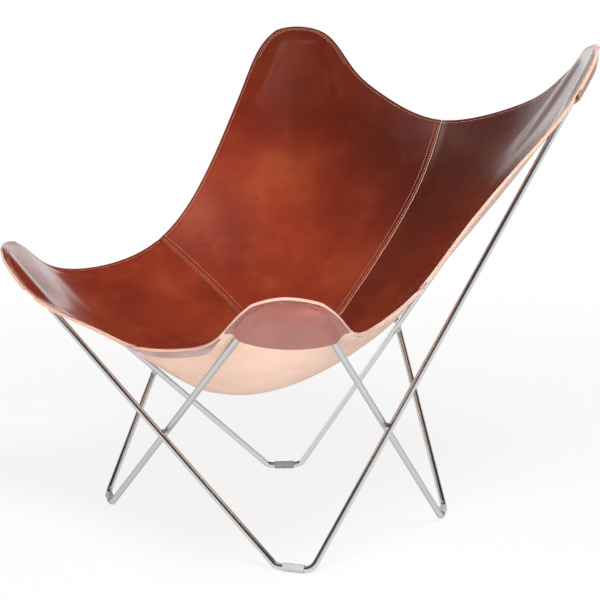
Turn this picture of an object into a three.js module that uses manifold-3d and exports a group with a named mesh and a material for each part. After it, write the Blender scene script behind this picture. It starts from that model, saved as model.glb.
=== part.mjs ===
// Butterfly sling chair: two closed loops of bent round rod, welded to each other
// at four crossings, carry a leather sling by a pocket at each of its four corners.
// The sling is four quarter panels sewn in a cross with lap seams.
// Millimetres. x runs across the chair, y from the front to the back, z up from the floor.

import * as THREE from 'three';
import { mergeVertices } from 'three/addons/utils/BufferGeometryUtils.js';
import Module from 'manifold-3d';

// Driving sizes of the frame
const rodDiameter = 12;
const clearance = 0.3;
const lowCornerAcross = 398.4;
const lowCornerForward = 384.4;
const lowCornerHeight = 503;
const highCornerAcross = 395.8;
const highCornerBack = 378.4;
const highCornerHeight = 891;
const cornerRun = 93;
const lowRunAngle = 43;
const highRunAngle = 138.8;
const cornerBendRadius = 28;
const frontFootAcross = 272.3;
const frontFootForward = 249.5;
const backFootAcross = 229.4;
const backFootBack = 182;
const footRun = 67;
const frontFootAngle = 29.8;
const backFootAngle = 127.8;
const footBendRadius = 20;
const sleeveWall = 1.5;
const sleeveLength = 40;
const sleeveChamfer = 0.8;
const weldRadius = 8.6;

// Moves the chair back, so that the origin lies under the middle of its outline
const centreShift = 6.09;

// Driving sizes of the sling
const leatherThickness = 3.5;
const pocketThickness = 2.5;
const stripThickness = 2.5;
const stripWidth = 25;
const stripSetback = 15;
const lapWidth = 16;
const joggleLength = 18;
const lapGrowth = 25;
const hemFlange = 8;
const pocketSlope = 8;
const pocketInset = 2;
const pocketBulge = 5;
const pocketShoulder = 56;
const pocketFlank = 92;
const pocketMouthDepth = 100;
const droopStart = 4;
const droopWidth = 26;
const droopDepth = 90;
const droopFade = 170;
const rodDrapeRadius = 30;
const rodDrapeBlend = 1.2;
const cutOverrun = 4;

// Outline of a corner lobe, by the plane of the corner's two legs: distance along the corner
// run from its middle, distance down the legs from the run, and lift above the rod's top
const lowLobe = {
  droop: 3.3,
  tip: [0, -32.5, 1.6],
  frontShoulder: [68.2, -1.8, -4.3],
  frontFlank: [124.5, 91, -3.5],
  sideShoulder: [74.7, 4.6, 2.7],
  sideFlank: [105, 71.6, 5.5],
};
const highLobe = {
  droop: 7.2,
  tip: [0, -24.5, 0.1],
  sideShoulder: [66.4, -6, 4.2],
  sideFlank: [121.1, 122.8, 8.7],
  backShoulder: [54.9, -6.7, -1],
  backFlank: [116.3, 80.8, 10],
};

// Points that the sling's free edges and seams pass through, on the right-hand side
const frontMiddle = [0, -387.6, 381.9];
const frontQuarter = [122.5, -388.4, 397.3];
const sideFront = [387.9, -161.9, 454.4];
const sideMiddle = [368, -39.1, 498.2];
const sideBack = [378.5, 83.4, 611.2];
const backMiddle = [0, 400.6, 741];
const backQuarter = [177.4, 410.5, 781.4];
const seatCentre = [0, 4, 296];
const seatSide = [186, 12, 365];
const seatFront = [0, -190, 266.5];
const seatFrontHigh = [0, -300, 322];
const seatBackLow = [0, 138, 391];
const seatBackHigh = [0, 333.5, 605.5];

// Fineness of the facets
const rodSides = 12;
const sleeveSides = 24;
const bendSteps = 5;
const weldSides = 14;
const panelCells = 10;
const crowdShare = 0.6;
const joggleCells = 2;
const pocketCells = 5;
const edgeSamples = 400;
const facetTolerance = 0.1;
const normalShare = 0.97;
const probeShare = 0.004;
const settlingRounds = 8;
const settlingProbeShare = 0.01;

const rodRadius = rodDiameter / 2;
const rodSeat = rodRadius + clearance;
const sleeveRadius = rodSeat + sleeveWall;
const footHeight = sleeveRadius * Math.cos(Math.PI / sleeveSides);
const layerDrop = leatherThickness + clearance;
const cutClearance = clearance + facetTolerance;

const wasm = await Module();
wasm.setup();

const vec = (list) => new THREE.Vector3(...list);
const radians = THREE.MathUtils.degToRad;
const chair = new THREE.Group();
chair.name = 'butterfly_sling_chair';
chair.position.y = centreShift;

const steel = new THREE.MeshStandardMaterial({ color: 0xc9cbcd, roughness: 0.25, metalness: 1 });
const weldSteel = new THREE.MeshStandardMaterial({ color: 0xb4b6b8, roughness: 0.4, metalness: 1 });
const glide = new THREE.MeshStandardMaterial({ color: 0xa9abad, roughness: 0.55, metalness: 0 });
const cognac = new THREE.MeshStandardMaterial({ color: 0x8a3420, roughness: 0.42, metalness: 0 });
const cognacPocket = new THREE.MeshStandardMaterial({ color: 0x9a5348, roughness: 0.45, metalness: 0 });
const cognacStrip = new THREE.MeshStandardMaterial({ color: 0xa2665c, roughness: 0.5, metalness: 0 });

function addPiece(name, geometry, material) {
  const mesh = new THREE.Mesh(geometry, material);
  mesh.name = name;
  chair.add(mesh);
}

function geometryFrom(positions, triangles) {
  const geometry = new THREE.BufferGeometry();
  geometry.setAttribute('position', new THREE.Float32BufferAttribute(positions, 3));
  geometry.setIndex(triangles);
  return geometry;
}

function toManifold(geometry) {
  const plain = geometry.clone();
  plain.deleteAttribute('normal');
  plain.deleteAttribute('uv');
  const merged = mergeVertices(plain, 1e-5);
  const vertProperties = new Float32Array(merged.attributes.position.array);
  const triVerts = new Uint32Array(merged.index.array);
  return new wasm.Manifold(new wasm.Mesh({ numProp: 3, vertProperties, triVerts }));
}

// The largest body of a cut solid, without the slivers and needless facets of the cut
function fromManifold(solid) {
  const bodies = solid.decompose().sort((a, b) => b.volume() - a.volume());
  const mesh = bodies[0].simplify(facetTolerance).getMesh();
  return geometryFrom(Array.from(mesh.vertProperties), Array.from(mesh.triVerts));
}

// Frame: the right-hand corners and feet, from which both loops are laid out
function runAt(across, along, height, angle, length) {
  const middle = new THREE.Vector3(across, along, height);
  const direction = new THREE.Vector3(Math.cos(radians(angle)), Math.sin(radians(angle)), 0);
  const start = middle.clone().addScaledVector(direction, -length / 2);
  const end = middle.clone().addScaledVector(direction, length / 2);
  return [start, end];
}

const lowRun = runAt(lowCornerAcross, -lowCornerForward, lowCornerHeight, lowRunAngle, cornerRun);
const highRun = runAt(highCornerAcross, highCornerBack, highCornerHeight, highRunAngle, cornerRun);
const frontFoot = runAt(frontFootAcross, -frontFootForward, footHeight, frontFootAngle, footRun);
const backFoot = runAt(backFootAcross, backFootBack, footHeight, backFootAngle, footRun);

const middleOf = (run) => run[0].clone().add(run[1]).multiplyScalar(1 / 2);
const nearerEnd = (run, point) => (run[0].distanceTo(point) < run[1].distanceTo(point) ? 0 : 1);

// Each loop has one low and one high corner, on opposite sides, and two feet. The loops
// are mirror images, moved apart across and forward, and their feet sway a little sideways.
// The moves are held in one vector: across, forward, sway.
function place(run, side, loop, moves, swayShare) {
  return run.map((point) => new THREE.Vector3(
    point.x * side + loop * moves.x + swayShare * moves.z,
    point.y - loop * moves.y,
    point.z,
  ));
}

function layOut(moves) {
  const feet = {
    front_left: place(frontFoot, -1, -1, moves, 1),
    front_right: place(frontFoot, 1, 1, moves, 1),
    back_left: place(backFoot, -1, 1, moves, -1),
    back_right: place(backFoot, 1, -1, moves, -1),
  };
  const corners = {
    front_left: { run: place(lowRun, -1, 1, moves, 0), feet: [feet.front_right, feet.back_left] },
    front_right: { run: place(lowRun, 1, -1, moves, 0), feet: [feet.front_left, feet.back_right] },
    back_left: { run: place(highRun, -1, -1, moves, 0), feet: [feet.front_left, feet.back_right] },
    back_right: { run: place(highRun, 1, 1, moves, 0), feet: [feet.front_right, feet.back_left] },
  };
  return { feet, corners };
}

// The six turning points of a bow, from the middle of one foot to the middle of the next.
// Its ends meet those of the loop's other bow inside the foot sleeves.
const halfJoint = clearance / 2;

function footPoints(foot, point) {
  const bend = foot[nearerEnd(foot, point)];
  const middle = middleOf(foot);
  const end = bend.clone().sub(middle).setLength(halfJoint).add(middle);
  return [end, bend];
}

function bowPoints(corner) {
  const top = middleOf(corner.run);
  const first = nearerEnd(corner.run, middleOf(corner.feet[0]));
  return [
    ...footPoints(corner.feet[0], top), corner.run[first],
    corner.run[1 - first], ...footPoints(corner.feet[1], top).reverse(),
  ];
}

// Crossings: the two legs that touch there, each as a bow and its first or second leg
const crossings = {
  front: [['front_left', 0], ['front_right', 0]],
  left: [['front_left', 1], ['back_left', 0]],
  right: [['front_right', 1], ['back_right', 0]],
  back: [['back_left', 1], ['back_right', 1]],
};

const legOf = (points, which) => (which === 0 ? [points[1], points[2]] : [points[3], points[4]]);

function closestPoints(legA, legB) {
  const u = legA[1].clone().sub(legA[0]);
  const v = legB[1].clone().sub(legB[0]);
  const w = legA[0].clone().sub(legB[0]);
  const denominator = u.dot(u) * v.dot(v) - u.dot(v) ** 2;
  const s = (u.dot(v) * v.dot(w) - v.dot(v) * u.dot(w)) / denominator;
  const t = (u.dot(u) * v.dot(w) - u.dot(v) * u.dot(w)) / denominator;
  return [legA[0].clone().addScaledVector(u, s), legB[0].clone().addScaledVector(v, t)];
}

function crossingSpans(moves) {
  const { corners } = layOut(moves);
  const spans = ['front', 'left', 'right'].map((name) => {
    const legs = crossings[name].map(([bow, which]) => legOf(bowPoints(corners[bow]), which));
    const [onFirst, onSecond] = closestPoints(legs[0], legs[1]);
    return onFirst.distanceTo(onSecond);
  });
  return vec(spans);
}

// The moves at which the rods just touch at the front and side crossings
function settledMoves() {
  const touching = rodDiameter + clearance;
  const probe = rodDiameter * settlingProbeShare;
  const moves = new THREE.Vector3(rodRadius, rodRadius, 0);
  for (let round = 0; round < settlingRounds; round += 1) {
    const spans = crossingSpans(moves);
    const slopesOfSpans = [[probe, 0, 0], [0, probe, 0], [0, 0, probe]].map((list) => (
      crossingSpans(moves.clone().add(vec(list))).sub(spans).divideScalar(probe)
    ));
    const change = new THREE.Matrix4().makeBasis(...slopesOfSpans).invert();
    moves.sub(spans.addScalar(-touching).applyMatrix4(change));
  }
  return moves;
}

const { feet, corners } = layOut(settledMoves());

// A rod's centre line: straight runs joined by arcs at the inner corners
function bentLine(points, radii) {
  const line = [points[0]];
  for (let i = 1; i < points.length - 1; i += 1) {
    const before = points[i - 1].clone().sub(points[i]).normalize();
    const after = points[i + 1].clone().sub(points[i]).normalize();
    const half = before.angleTo(after) / 2;
    const radius = radii[i - 1];
    const bisector = before.clone().add(after).normalize();
    const centre = points[i].clone().addScaledVector(bisector, radius / Math.sin(half));
    const from = points[i].clone().addScaledVector(before, radius / Math.tan(half)).sub(centre);
    const to = points[i].clone().addScaledVector(after, radius / Math.tan(half)).sub(centre);
    const axis = from.clone().cross(to).normalize();
    const sweep = from.angleTo(to);
    for (let step = 0; step <= bendSteps; step += 1) {
      line.push(from.clone().applyAxisAngle(axis, (sweep * step) / bendSteps).add(centre));
    }
  }
  line.push(points[points.length - 1]);
  return line;
}

// A round rod along a centre line, one ring of points at each point of the line
function rodAlong(line, radius, sides) {
  const positions = [];
  const triangles = [];
  const across = new THREE.Vector3(0, 0, 1);
  line.forEach((point, i) => {
    const back = line[Math.max(i - 1, 0)];
    const ahead = line[Math.min(i + 1, line.length - 1)];
    const tangent = ahead.clone().sub(back).normalize();
    across.addScaledVector(tangent, -across.dot(tangent)).normalize();
    const other = tangent.clone().cross(across);
    for (let k = 0; k < sides; k += 1) {
      const turn = (2 * Math.PI * k) / sides;
      const rim = point.clone()
        .addScaledVector(across, radius * Math.cos(turn))
        .addScaledVector(other, radius * Math.sin(turn));
      positions.push(rim.x, rim.y, rim.z);
    }
  });
  const first = positions.length / 3;
  positions.push(...line[0].toArray());
  positions.push(...line[line.length - 1].toArray());
  const lastRing = (line.length - 1) * sides;
  for (let k = 0; k < sides; k += 1) {
    const next = (k + 1) % sides;
    for (let i = 0; i < line.length - 1; i += 1) {
      const a = i * sides + k;
      const b = i * sides + next;
      triangles.push(a, b, b + sides, a, b + sides, a + sides);
    }
    triangles.push(first, next, k);
    triangles.push(first + 1, lastRing + k, lastRing + next);
  }
  return geometryFrom(positions, triangles);
}

// Bows: one bent rod per corner
const bows = {};
for (const [name, corner] of Object.entries(corners)) {
  const points = bowPoints(corner);
  const radii = [footBendRadius, cornerBendRadius, cornerBendRadius, footBendRadius];
  bows[name] = { points, line: bentLine(points, radii) };
  addPiece(`rod_bow_${name}`, rodAlong(bows[name].line, rodRadius, rodSides), steel);
}

// Foot sleeves: a tube with chamfered ends over each foot joint, resting on one facet
function sleeveGeometry(foot) {
  const half = sleeveLength / 2;
  const profile = [
    [rodSeat, -half],
    [sleeveRadius - sleeveChamfer, -half],
    [sleeveRadius, -half + sleeveChamfer],
    [sleeveRadius, half - sleeveChamfer],
    [sleeveRadius - sleeveChamfer, half],
    [rodSeat, half],
    [rodSeat, -half],
  ].map(([radius, height]) => new THREE.Vector2(radius, height));
  const tube = new THREE.LatheGeometry(profile, sleeveSides);
  tube.deleteAttribute('normal');
  tube.deleteAttribute('uv');
  const closed = mergeVertices(tube, 1e-5);
  const middle = middleOf(foot);
  const direction = foot[1].clone().sub(foot[0]).normalize();
  const up = new THREE.Vector3(0, 0, 1);
  const sideways = direction.clone().cross(up);
  closed.rotateY(Math.PI / sleeveSides);
  closed.applyMatrix4(new THREE.Matrix4().makeBasis(sideways, direction, up));
  closed.translate(middle.x, middle.y, middle.z);
  return closed;
}

for (const [name, foot] of Object.entries(feet)) {
  addPiece(`foot_sleeve_${name}`, sleeveGeometry(foot), glide);
}

// Weld beads: metal filling the crook around each crossing, clear of both rods
function cylinderAround(leg, centre, radius, half) {
  const direction = leg[1].clone().sub(leg[0]).normalize();
  const start = centre.clone().addScaledVector(direction, -half);
  const end = centre.clone().addScaledVector(direction, half);
  return rodAlong([start, end], radius, rodSides * 2);
}

for (const [name, sides] of Object.entries(crossings)) {
  const legs = sides.map(([bow, which]) => legOf(bows[bow].points, which));
  const [onFirst, onSecond] = closestPoints(legs[0], legs[1]);
  const middle = middleOf([onFirst, onSecond]);
  const ball = new THREE.SphereGeometry(weldRadius, weldSides, weldSides / 2);
  ball.translate(middle.x, middle.y, middle.z);
  const bead = toManifold(ball)
    .subtract(toManifold(cylinderAround(legs[0], onFirst, rodSeat, weldRadius + cutOverrun)))
    .subtract(toManifold(cylinderAround(legs[1], onSecond, rodSeat, weldRadius + cutOverrun)));
  addPiece(`weld_bead_${name}`, fromManifold(bead), weldSteel);
}

// Sling: a plane at each corner, spanned by the run and the mean direction of the two legs
function cornerFrame(name) {
  const { points } = bows[name];
  const front = name.startsWith('front');
  const start = points[2];
  const end = points[3];
  const middle = middleOf([start, end]);
  const along = end.clone().sub(start).normalize();
  const legA = points[1].clone().sub(start).normalize();
  const legB = points[4].clone().sub(end).normalize();
  const down = legA.clone().add(legB);
  down.addScaledVector(along, -down.dot(along)).normalize();
  const normal = along.clone().cross(down);
  if (normal.z < 0) {
    normal.negate();
  }
  const spreadA = -legA.dot(along) / legA.dot(down);
  const spreadB = legB.dot(along) / legB.dot(down);
  return { middle, along, down, normal, front, spreadA, spreadB };
}

const sheetSeat = rodSeat + leatherThickness / 2;

function inCorner(frame, along, depth, lift) {
  return frame.middle.clone()
    .addScaledVector(frame.along, along)
    .addScaledVector(frame.down, depth)
    .addScaledVector(frame.normal, lift);
}

// A smooth curve through points: a natural cubic spline over the root of the chord lengths
function smoothCurve(points) {
  const knots = [0];
  for (let i = 1; i < points.length; i += 1) {
    knots.push(knots[i - 1] + Math.sqrt(points[i].distanceTo(points[i - 1])));
  }
  const total = knots[knots.length - 1];
  const spans = knots.slice(1).map((knot, i) => (knot - knots[i]) / total);
  const last = points.length - 1;
  const bends = ['x', 'y', 'z'].map((axis) => {
    const upper = [0];
    const right = [0];
    for (let i = 1; i < last; i += 1) {
      const slopeAfter = (points[i + 1][axis] - points[i][axis]) / spans[i];
      const slopeBefore = (points[i][axis] - points[i - 1][axis]) / spans[i - 1];
      const pivot = 2 * (spans[i - 1] + spans[i]) - spans[i - 1] * upper[i - 1];
      upper.push(spans[i] / pivot);
      right.push((6 * (slopeAfter - slopeBefore) - spans[i - 1] * right[i - 1]) / pivot);
    }
    const second = new Array(last + 1).fill(0);
    for (let i = last - 1; i > 0; i -= 1) {
      second[i] = right[i] - upper[i] * second[i + 1];
    }
    return second;
  });
  const marks = knots.map((knot) => knot / total);
  const at = (share) => {
    const mark = Math.min(Math.max(share, 0), 1);
    let i = 0;
    while (i < last - 1 && mark > marks[i + 1]) {
      i += 1;
    }
    const h = spans[i];
    const b = (mark - marks[i]) / h;
    const a = 1 - b;
    const value = ['x', 'y', 'z'].map((axis, k) => (
      a * points[i][axis] + b * points[i + 1][axis]
      + (((a ** 3 - a) * bends[k][i] + (b ** 3 - b) * bends[k][i + 1]) * h * h) / 6
    ));
    return vec(value);
  };
  return { at, marks };
}

// A curve read from -1 over the middle point at 0 to 1
function throughMiddle(points, middleIndex) {
  const curve = smoothCurve(points);
  const middle = curve.marks[middleIndex];
  return (share) => curve.at(middle + share / 2 + share * share * (1 / 2 - middle));
}

const frames = {};
for (const name of Object.keys(corners)) {
  frames[name] = cornerFrame(name);
}

// Lobe points from the tip outwards; the first leg of a bow lies on the crossing side
// that the front bows share, and on the outer side for the back bows
function lobePoints(name, edge) {
  const frame = frames[name];
  const lobe = frame.front ? lowLobe : highLobe;
  const sign = edge === 'side' ? 1 : -1;
  const facing = frame.front ? sign : -sign;
  return [lobe.tip, lobe[`${edge}Shoulder`], lobe[`${edge}Flank`]].map(
    ([along, depth, lift]) => inCorner(frame, facing * along, depth, sheetSeat + lift),
  );
}

const mirrored = (list) => vec([-list[0], list[1], list[2]]);
const onSide = (list, side) => (side > 0 ? vec(list) : mirrored(list));

const frontEdge = throughMiddle([
  ...lobePoints('front_left', 'front'), mirrored(frontQuarter), vec(frontMiddle),
  vec(frontQuarter), ...lobePoints('front_right', 'front').reverse(),
], 4);
const backEdge = throughMiddle([
  ...lobePoints('back_left', 'back'), mirrored(backQuarter), vec(backMiddle),
  vec(backQuarter), ...lobePoints('back_right', 'back').reverse(),
], 4);
const sideEdges = {};
for (const side of [-1, 1]) {
  const hand = side < 0 ? 'left' : 'right';
  sideEdges[side] = throughMiddle([
    ...lobePoints(`front_${hand}`, 'side'), onSide(sideFront, side), onSide(sideMiddle, side),
    onSide(sideBack, side), ...lobePoints(`back_${hand}`, 'side').reverse(),
  ], 4);
}
const crossSeam = throughMiddle([
  mirrored(sideMiddle), mirrored(seatSide), vec(seatCentre), vec(seatSide), vec(sideMiddle),
], 2);
const lengthSeam = throughMiddle([
  vec(frontMiddle), vec(seatFrontHigh), vec(seatFront), vec(seatCentre), vec(seatBackLow),
  vec(seatBackHigh), vec(backMiddle),
], 3);

// The blend of the two seams and the four free edges. Across runs from -1 at the left
// edge to 1, along from -1 at the front edge to 1.
const weights = (share) => [(share * (share - 1)) / 2, 1 - share * share, (share * (share + 1)) / 2];
const acrossCurves = [frontEdge, crossSeam, backEdge];
const alongCurves = [sideEdges[-1], lengthSeam, sideEdges[1]];

function blendPoint(across, along) {
  const acrossWeights = weights(across);
  const alongWeights = weights(along);
  const point = new THREE.Vector3();
  for (let i = 0; i < 3; i += 1) {
    point.addScaledVector(acrossCurves[i](across), alongWeights[i]);
    point.addScaledVector(alongCurves[i](along), acrossWeights[i]);
    for (let j = 0; j < 3; j += 1) {
      point.addScaledVector(acrossCurves[i](j - 1), -alongWeights[i] * acrossWeights[j]);
    }
  }
  return point;
}

const smooth = (share) => {
  const s = Math.min(Math.max(share, 0), 1);
  return s * s * (3 - 2 * s);
};

// Beyond the rod the lobe is not held up and turns down around it. The overhang is the
// distance outside the corner's run and two legs, and the droop fades down the legs.
function droopAt(name, point) {
  const frame = frames[name];
  const lobe = frame.front ? lowLobe : highLobe;
  const offset = point.clone().sub(frame.middle);
  const along = offset.dot(frame.along);
  const depth = offset.dot(frame.down);
  const spread = along < 0 ? frame.spreadA : frame.spreadB;
  const beyondLeg = (Math.abs(along) - cornerRun / 2 - Math.max(depth, 0) * spread) / Math.hypot(1, spread);
  const overhang = Math.max(-depth, beyondLeg);
  const fade = 1 - smooth((depth - droopDepth) / droopFade);
  return lobe.droop * fade * smooth((overhang - droopStart) / droopWidth);
}

// The leather is drawn up over the rod of its corner: no point lies lower than a ridge on
// the rod, whose flanks fall away as a parabola. The blend rounds the foot of the ridge.
function ridgeLift(name, point) {
  const { normal } = frames[name];
  const { line } = bows[name];
  const nearest = new THREE.Vector3();
  let offset = new THREE.Vector3(Infinity, Infinity, Infinity);
  for (let i = 1; i < line.length; i += 1) {
    new THREE.Line3(line[i - 1], line[i]).closestPointToPoint(point, true, nearest);
    const found = point.clone().sub(nearest);
    offset = found.lengthSq() < offset.lengthSq() ? found : offset;
  }
  const rise = offset.dot(normal);
  const asideSquared = offset.lengthSq() - rise * rise;
  const need = sheetSeat - asideSquared / (2 * rodDrapeRadius) - rise;
  return (need + Math.hypot(need, rodDrapeBlend)) / 2;
}

// The sling's middle surface
function slingPoint(across, along) {
  const point = blendPoint(across, along);
  const name = `${along < 0 ? 'front' : 'back'}_${across < 0 ? 'left' : 'right'}`;
  const { normal } = frames[name];
  point.addScaledVector(normal, -droopAt(name, point));
  return point.addScaledVector(normal, ridgeLift(name, point));
}

function slopes(across, along) {
  const a = Math.min(Math.max(across, -normalShare), normalShare);
  const b = Math.min(Math.max(along, -normalShare), normalShare);
  const du = slingPoint(a + probeShare, b).sub(slingPoint(a - probeShare, b));
  const dv = slingPoint(a, b + probeShare).sub(slingPoint(a, b - probeShare));
  return [du.multiplyScalar(1 / (2 * probeShare)), dv.multiplyScalar(1 / (2 * probeShare))];
}

function slingNormal(across, along) {
  const [du, dv] = slopes(across, along);
  return du.cross(dv).normalize();
}

// Panels: each quarter runs from the two seams to its corner. A panel that lies under its
// neighbour at a seam drops by one layer in front of the seam and reaches below it.
const panels = {
  back_left: { across: -1, along: 1, underAcross: false, underAlong: false },
  back_right: { across: 1, along: 1, underAcross: true, underAlong: false },
  front_left: { across: -1, along: -1, underAcross: false, underAlong: true },
  front_right: { across: 1, along: -1, underAcross: true, underAlong: true },
};

// Distances in millimetres of a place on the sling from the two seams
function seamDistances(across, along) {
  const [du, dv] = slopes(across, along);
  return [Math.abs(across) * du.length(), Math.abs(along) * dv.length()];
}

function panelDrop(panel, across, along) {
  const [fromLength, fromCross] = seamDistances(across, along);
  let share = 0;
  if (panel.underAcross) {
    const beyond = across * panel.across <= 0 ? 0 : fromLength;
    share = Math.max(share, smooth(1 - beyond / joggleLength) * smooth(fromCross / joggleLength));
  }
  if (panel.underAlong) {
    const beyond = along * panel.along <= 0 ? 0 : fromCross;
    share = Math.max(share, smooth(1 - beyond / joggleLength) * smooth(fromLength / joggleLength));
  }
  return layerDrop * share;
}

// Where a panel's seam edge lies, as a distance beyond the seam line
function seamReach(under, distance) {
  if (!under) {
    return -clearance / 2;
  }
  return -clearance / 2 + (lapWidth + clearance / 2) * smooth((distance - joggleLength) / lapGrowth);
}

// Stations from a seam edge to the free edge: some at set distances from the seam, which
// follow the joggle and the growth of the lap, two over the edge strip at set distances
// from the rim, and the rest in between, crowded a little to the rim
function stationsFrom(under) {
  const list = [{ beyond: true, inside: 0, outside: 0, share: 0 }];
  if (under) {
    list.push({ inside: 0, outside: 0, share: 0 });
  }
  for (let i = 1; i <= joggleCells; i += 1) {
    list.push({ inside: (joggleLength * i) / joggleCells, outside: 0, share: 0 });
  }
  for (let i = 0; i <= panelCells; i += 1) {
    const even = i / panelCells;
    const share = even + crowdShare * (Math.sin((even * Math.PI) / 2) - even);
    list.push({ inside: joggleLength + lapGrowth, outside: stripWidth, share });
  }
  list.push({ inside: 0, outside: stripWidth / 2, share: 1 });
  list.push({ inside: 0, outside: 0, share: 1 });
  return list;
}

function stationShare(station, reach, scale) {
  if (station.beyond) {
    return -reach / scale;
  }
  const low = station.inside / scale;
  const high = 1 - station.outside / scale;
  return low + (high - low) * station.share;
}

function closedSheet(top, bottom) {
  const rows = top.length;
  const columns = top[0].length;
  const positions = [];
  for (const layer of [top, bottom]) {
    for (const row of layer) {
      for (const point of row) {
        positions.push(point.x, point.y, point.z);
      }
    }
  }
  const under = rows * columns;
  const triangles = [];
  const quad = (a, b, c, d) => triangles.push(a, b, c, a, c, d);
  for (let i = 0; i < rows - 1; i += 1) {
    for (let j = 0; j < columns - 1; j += 1) {
      const a = i * columns + j;
      quad(a, a + columns, a + columns + 1, a + 1);
      quad(under + a, under + a + 1, under + a + columns + 1, under + a + columns);
    }
  }
  for (let i = 0; i < rows - 1; i += 1) {
    const a = i * columns;
    const b = a + columns - 1;
    quad(a, under + a, under + a + columns, a + columns);
    quad(b, b + columns, under + b + columns, under + b);
  }
  for (let j = 0; j < columns - 1; j += 1) {
    const a = j;
    const b = (rows - 1) * columns + j;
    quad(a, a + 1, under + a + 1, under + a);
    quad(b, under + b, under + b + 1, b + 1);
  }
  return geometryFrom(positions, triangles);
}

function outwards(geometry) {
  const solid = toManifold(geometry);
  if (solid.volume() > 0) {
    return geometry;
  }
  const index = geometry.index.array;
  for (let i = 0; i < index.length; i += 3) {
    [index[i], index[i + 1]] = [index[i + 1], index[i]];
  }
  return geometry;
}

// A panel's grid of places on its middle surface, each a point and the normal there
function panelGrid(panel) {
  const acrossStations = stationsFrom(panel.underAcross);
  const alongStations = stationsFrom(panel.underAlong);
  return acrossStations.map((acrossStation) => alongStations.map((alongStation) => {
    const [du, dv] = slopes(acrossStation.share * panel.across, alongStation.share * panel.along);
    const alongDistance = alongStation.inside + alongStation.share * dv.length();
    const acrossDistance = acrossStation.inside + acrossStation.share * du.length();
    const reachAcross = seamReach(panel.underAcross, alongDistance);
    const reachAlong = seamReach(panel.underAlong, acrossDistance);
    const a = stationShare(acrossStation, reachAcross, du.length()) * panel.across;
    const b = stationShare(alongStation, reachAlong, dv.length()) * panel.along;
    const normal = slingNormal(a, b);
    const point = slingPoint(a, b).addScaledVector(normal, -panelDrop(panel, a, b));
    return { point, normal };
  }));
}

// The sheet between two distances along the normal from a grid
function sheetBetween(grid, upper, lower) {
  const layer = (lift) => grid.map((row) => row.map(
    ({ point, normal }) => point.clone().addScaledVector(normal, lift),
  ));
  return outwards(closedSheet(layer(upper), layer(lower)));
}

const halfLeather = leatherThickness / 2;
const pocketDepth = pocketMouthDepth - lowLobe.tip[1];
const grids = {};
const panelCutters = {};
const rodCutters = {};
for (const [name, panel] of Object.entries(panels)) {
  grids[name] = panelGrid(panel);
  rodCutters[name] = toManifold(rodAlong(bows[name].line, rodSeat, rodSides * 2));
  const sheet = toManifold(sheetBetween(grids[name], halfLeather, -halfLeather));
  addPiece(`sling_panel_${name}`, fromManifold(sheet.subtract(rodCutters[name])), cognac);
  panelCutters[name] = toManifold(
    sheetBetween(grids[name], halfLeather + cutClearance, -halfLeather - cutClearance),
  );
}

// The rim of a corner lobe: points on the sling's edge with their distances from the tip,
// along the front or back edge (end) or along the side edge
function rimTable(panel, edge) {
  const list = [];
  let length = 0;
  let previous = slingPoint(panel.across, panel.along);
  for (let i = 0; i <= edgeSamples; i += 1) {
    const share = 1 - i / edgeSamples;
    const a = edge === 'side' ? panel.across : panel.across * share;
    const b = edge === 'side' ? panel.along * share : panel.along;
    const point = slingPoint(a, b);
    length += point.distanceTo(previous);
    previous = point;
    list.push({ length, point });
  }
  return list;
}

function onRim(table, distance) {
  let i = 1;
  while (i < table.length - 1 && table[i].length < distance) {
    i += 1;
  }
  const before = table[i - 1];
  const after = table[i];
  const part = (distance - before.length) / (after.length - before.length);
  return before.point.clone().lerp(after.point, part);
}

const rims = {};
for (const [name, panel] of Object.entries(panels)) {
  rims[name] = { side: rimTable(panel, 'side'), end: rimTable(panel, 'end') };
}

// Pockets: a second sheet on the outer side of each lobe, sewn to it along the rim. From
// the sewn flange it slopes down around the rod's corner and ends at a curved mouth.
const pocketReach = pocketShoulder + pocketFlank;

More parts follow.
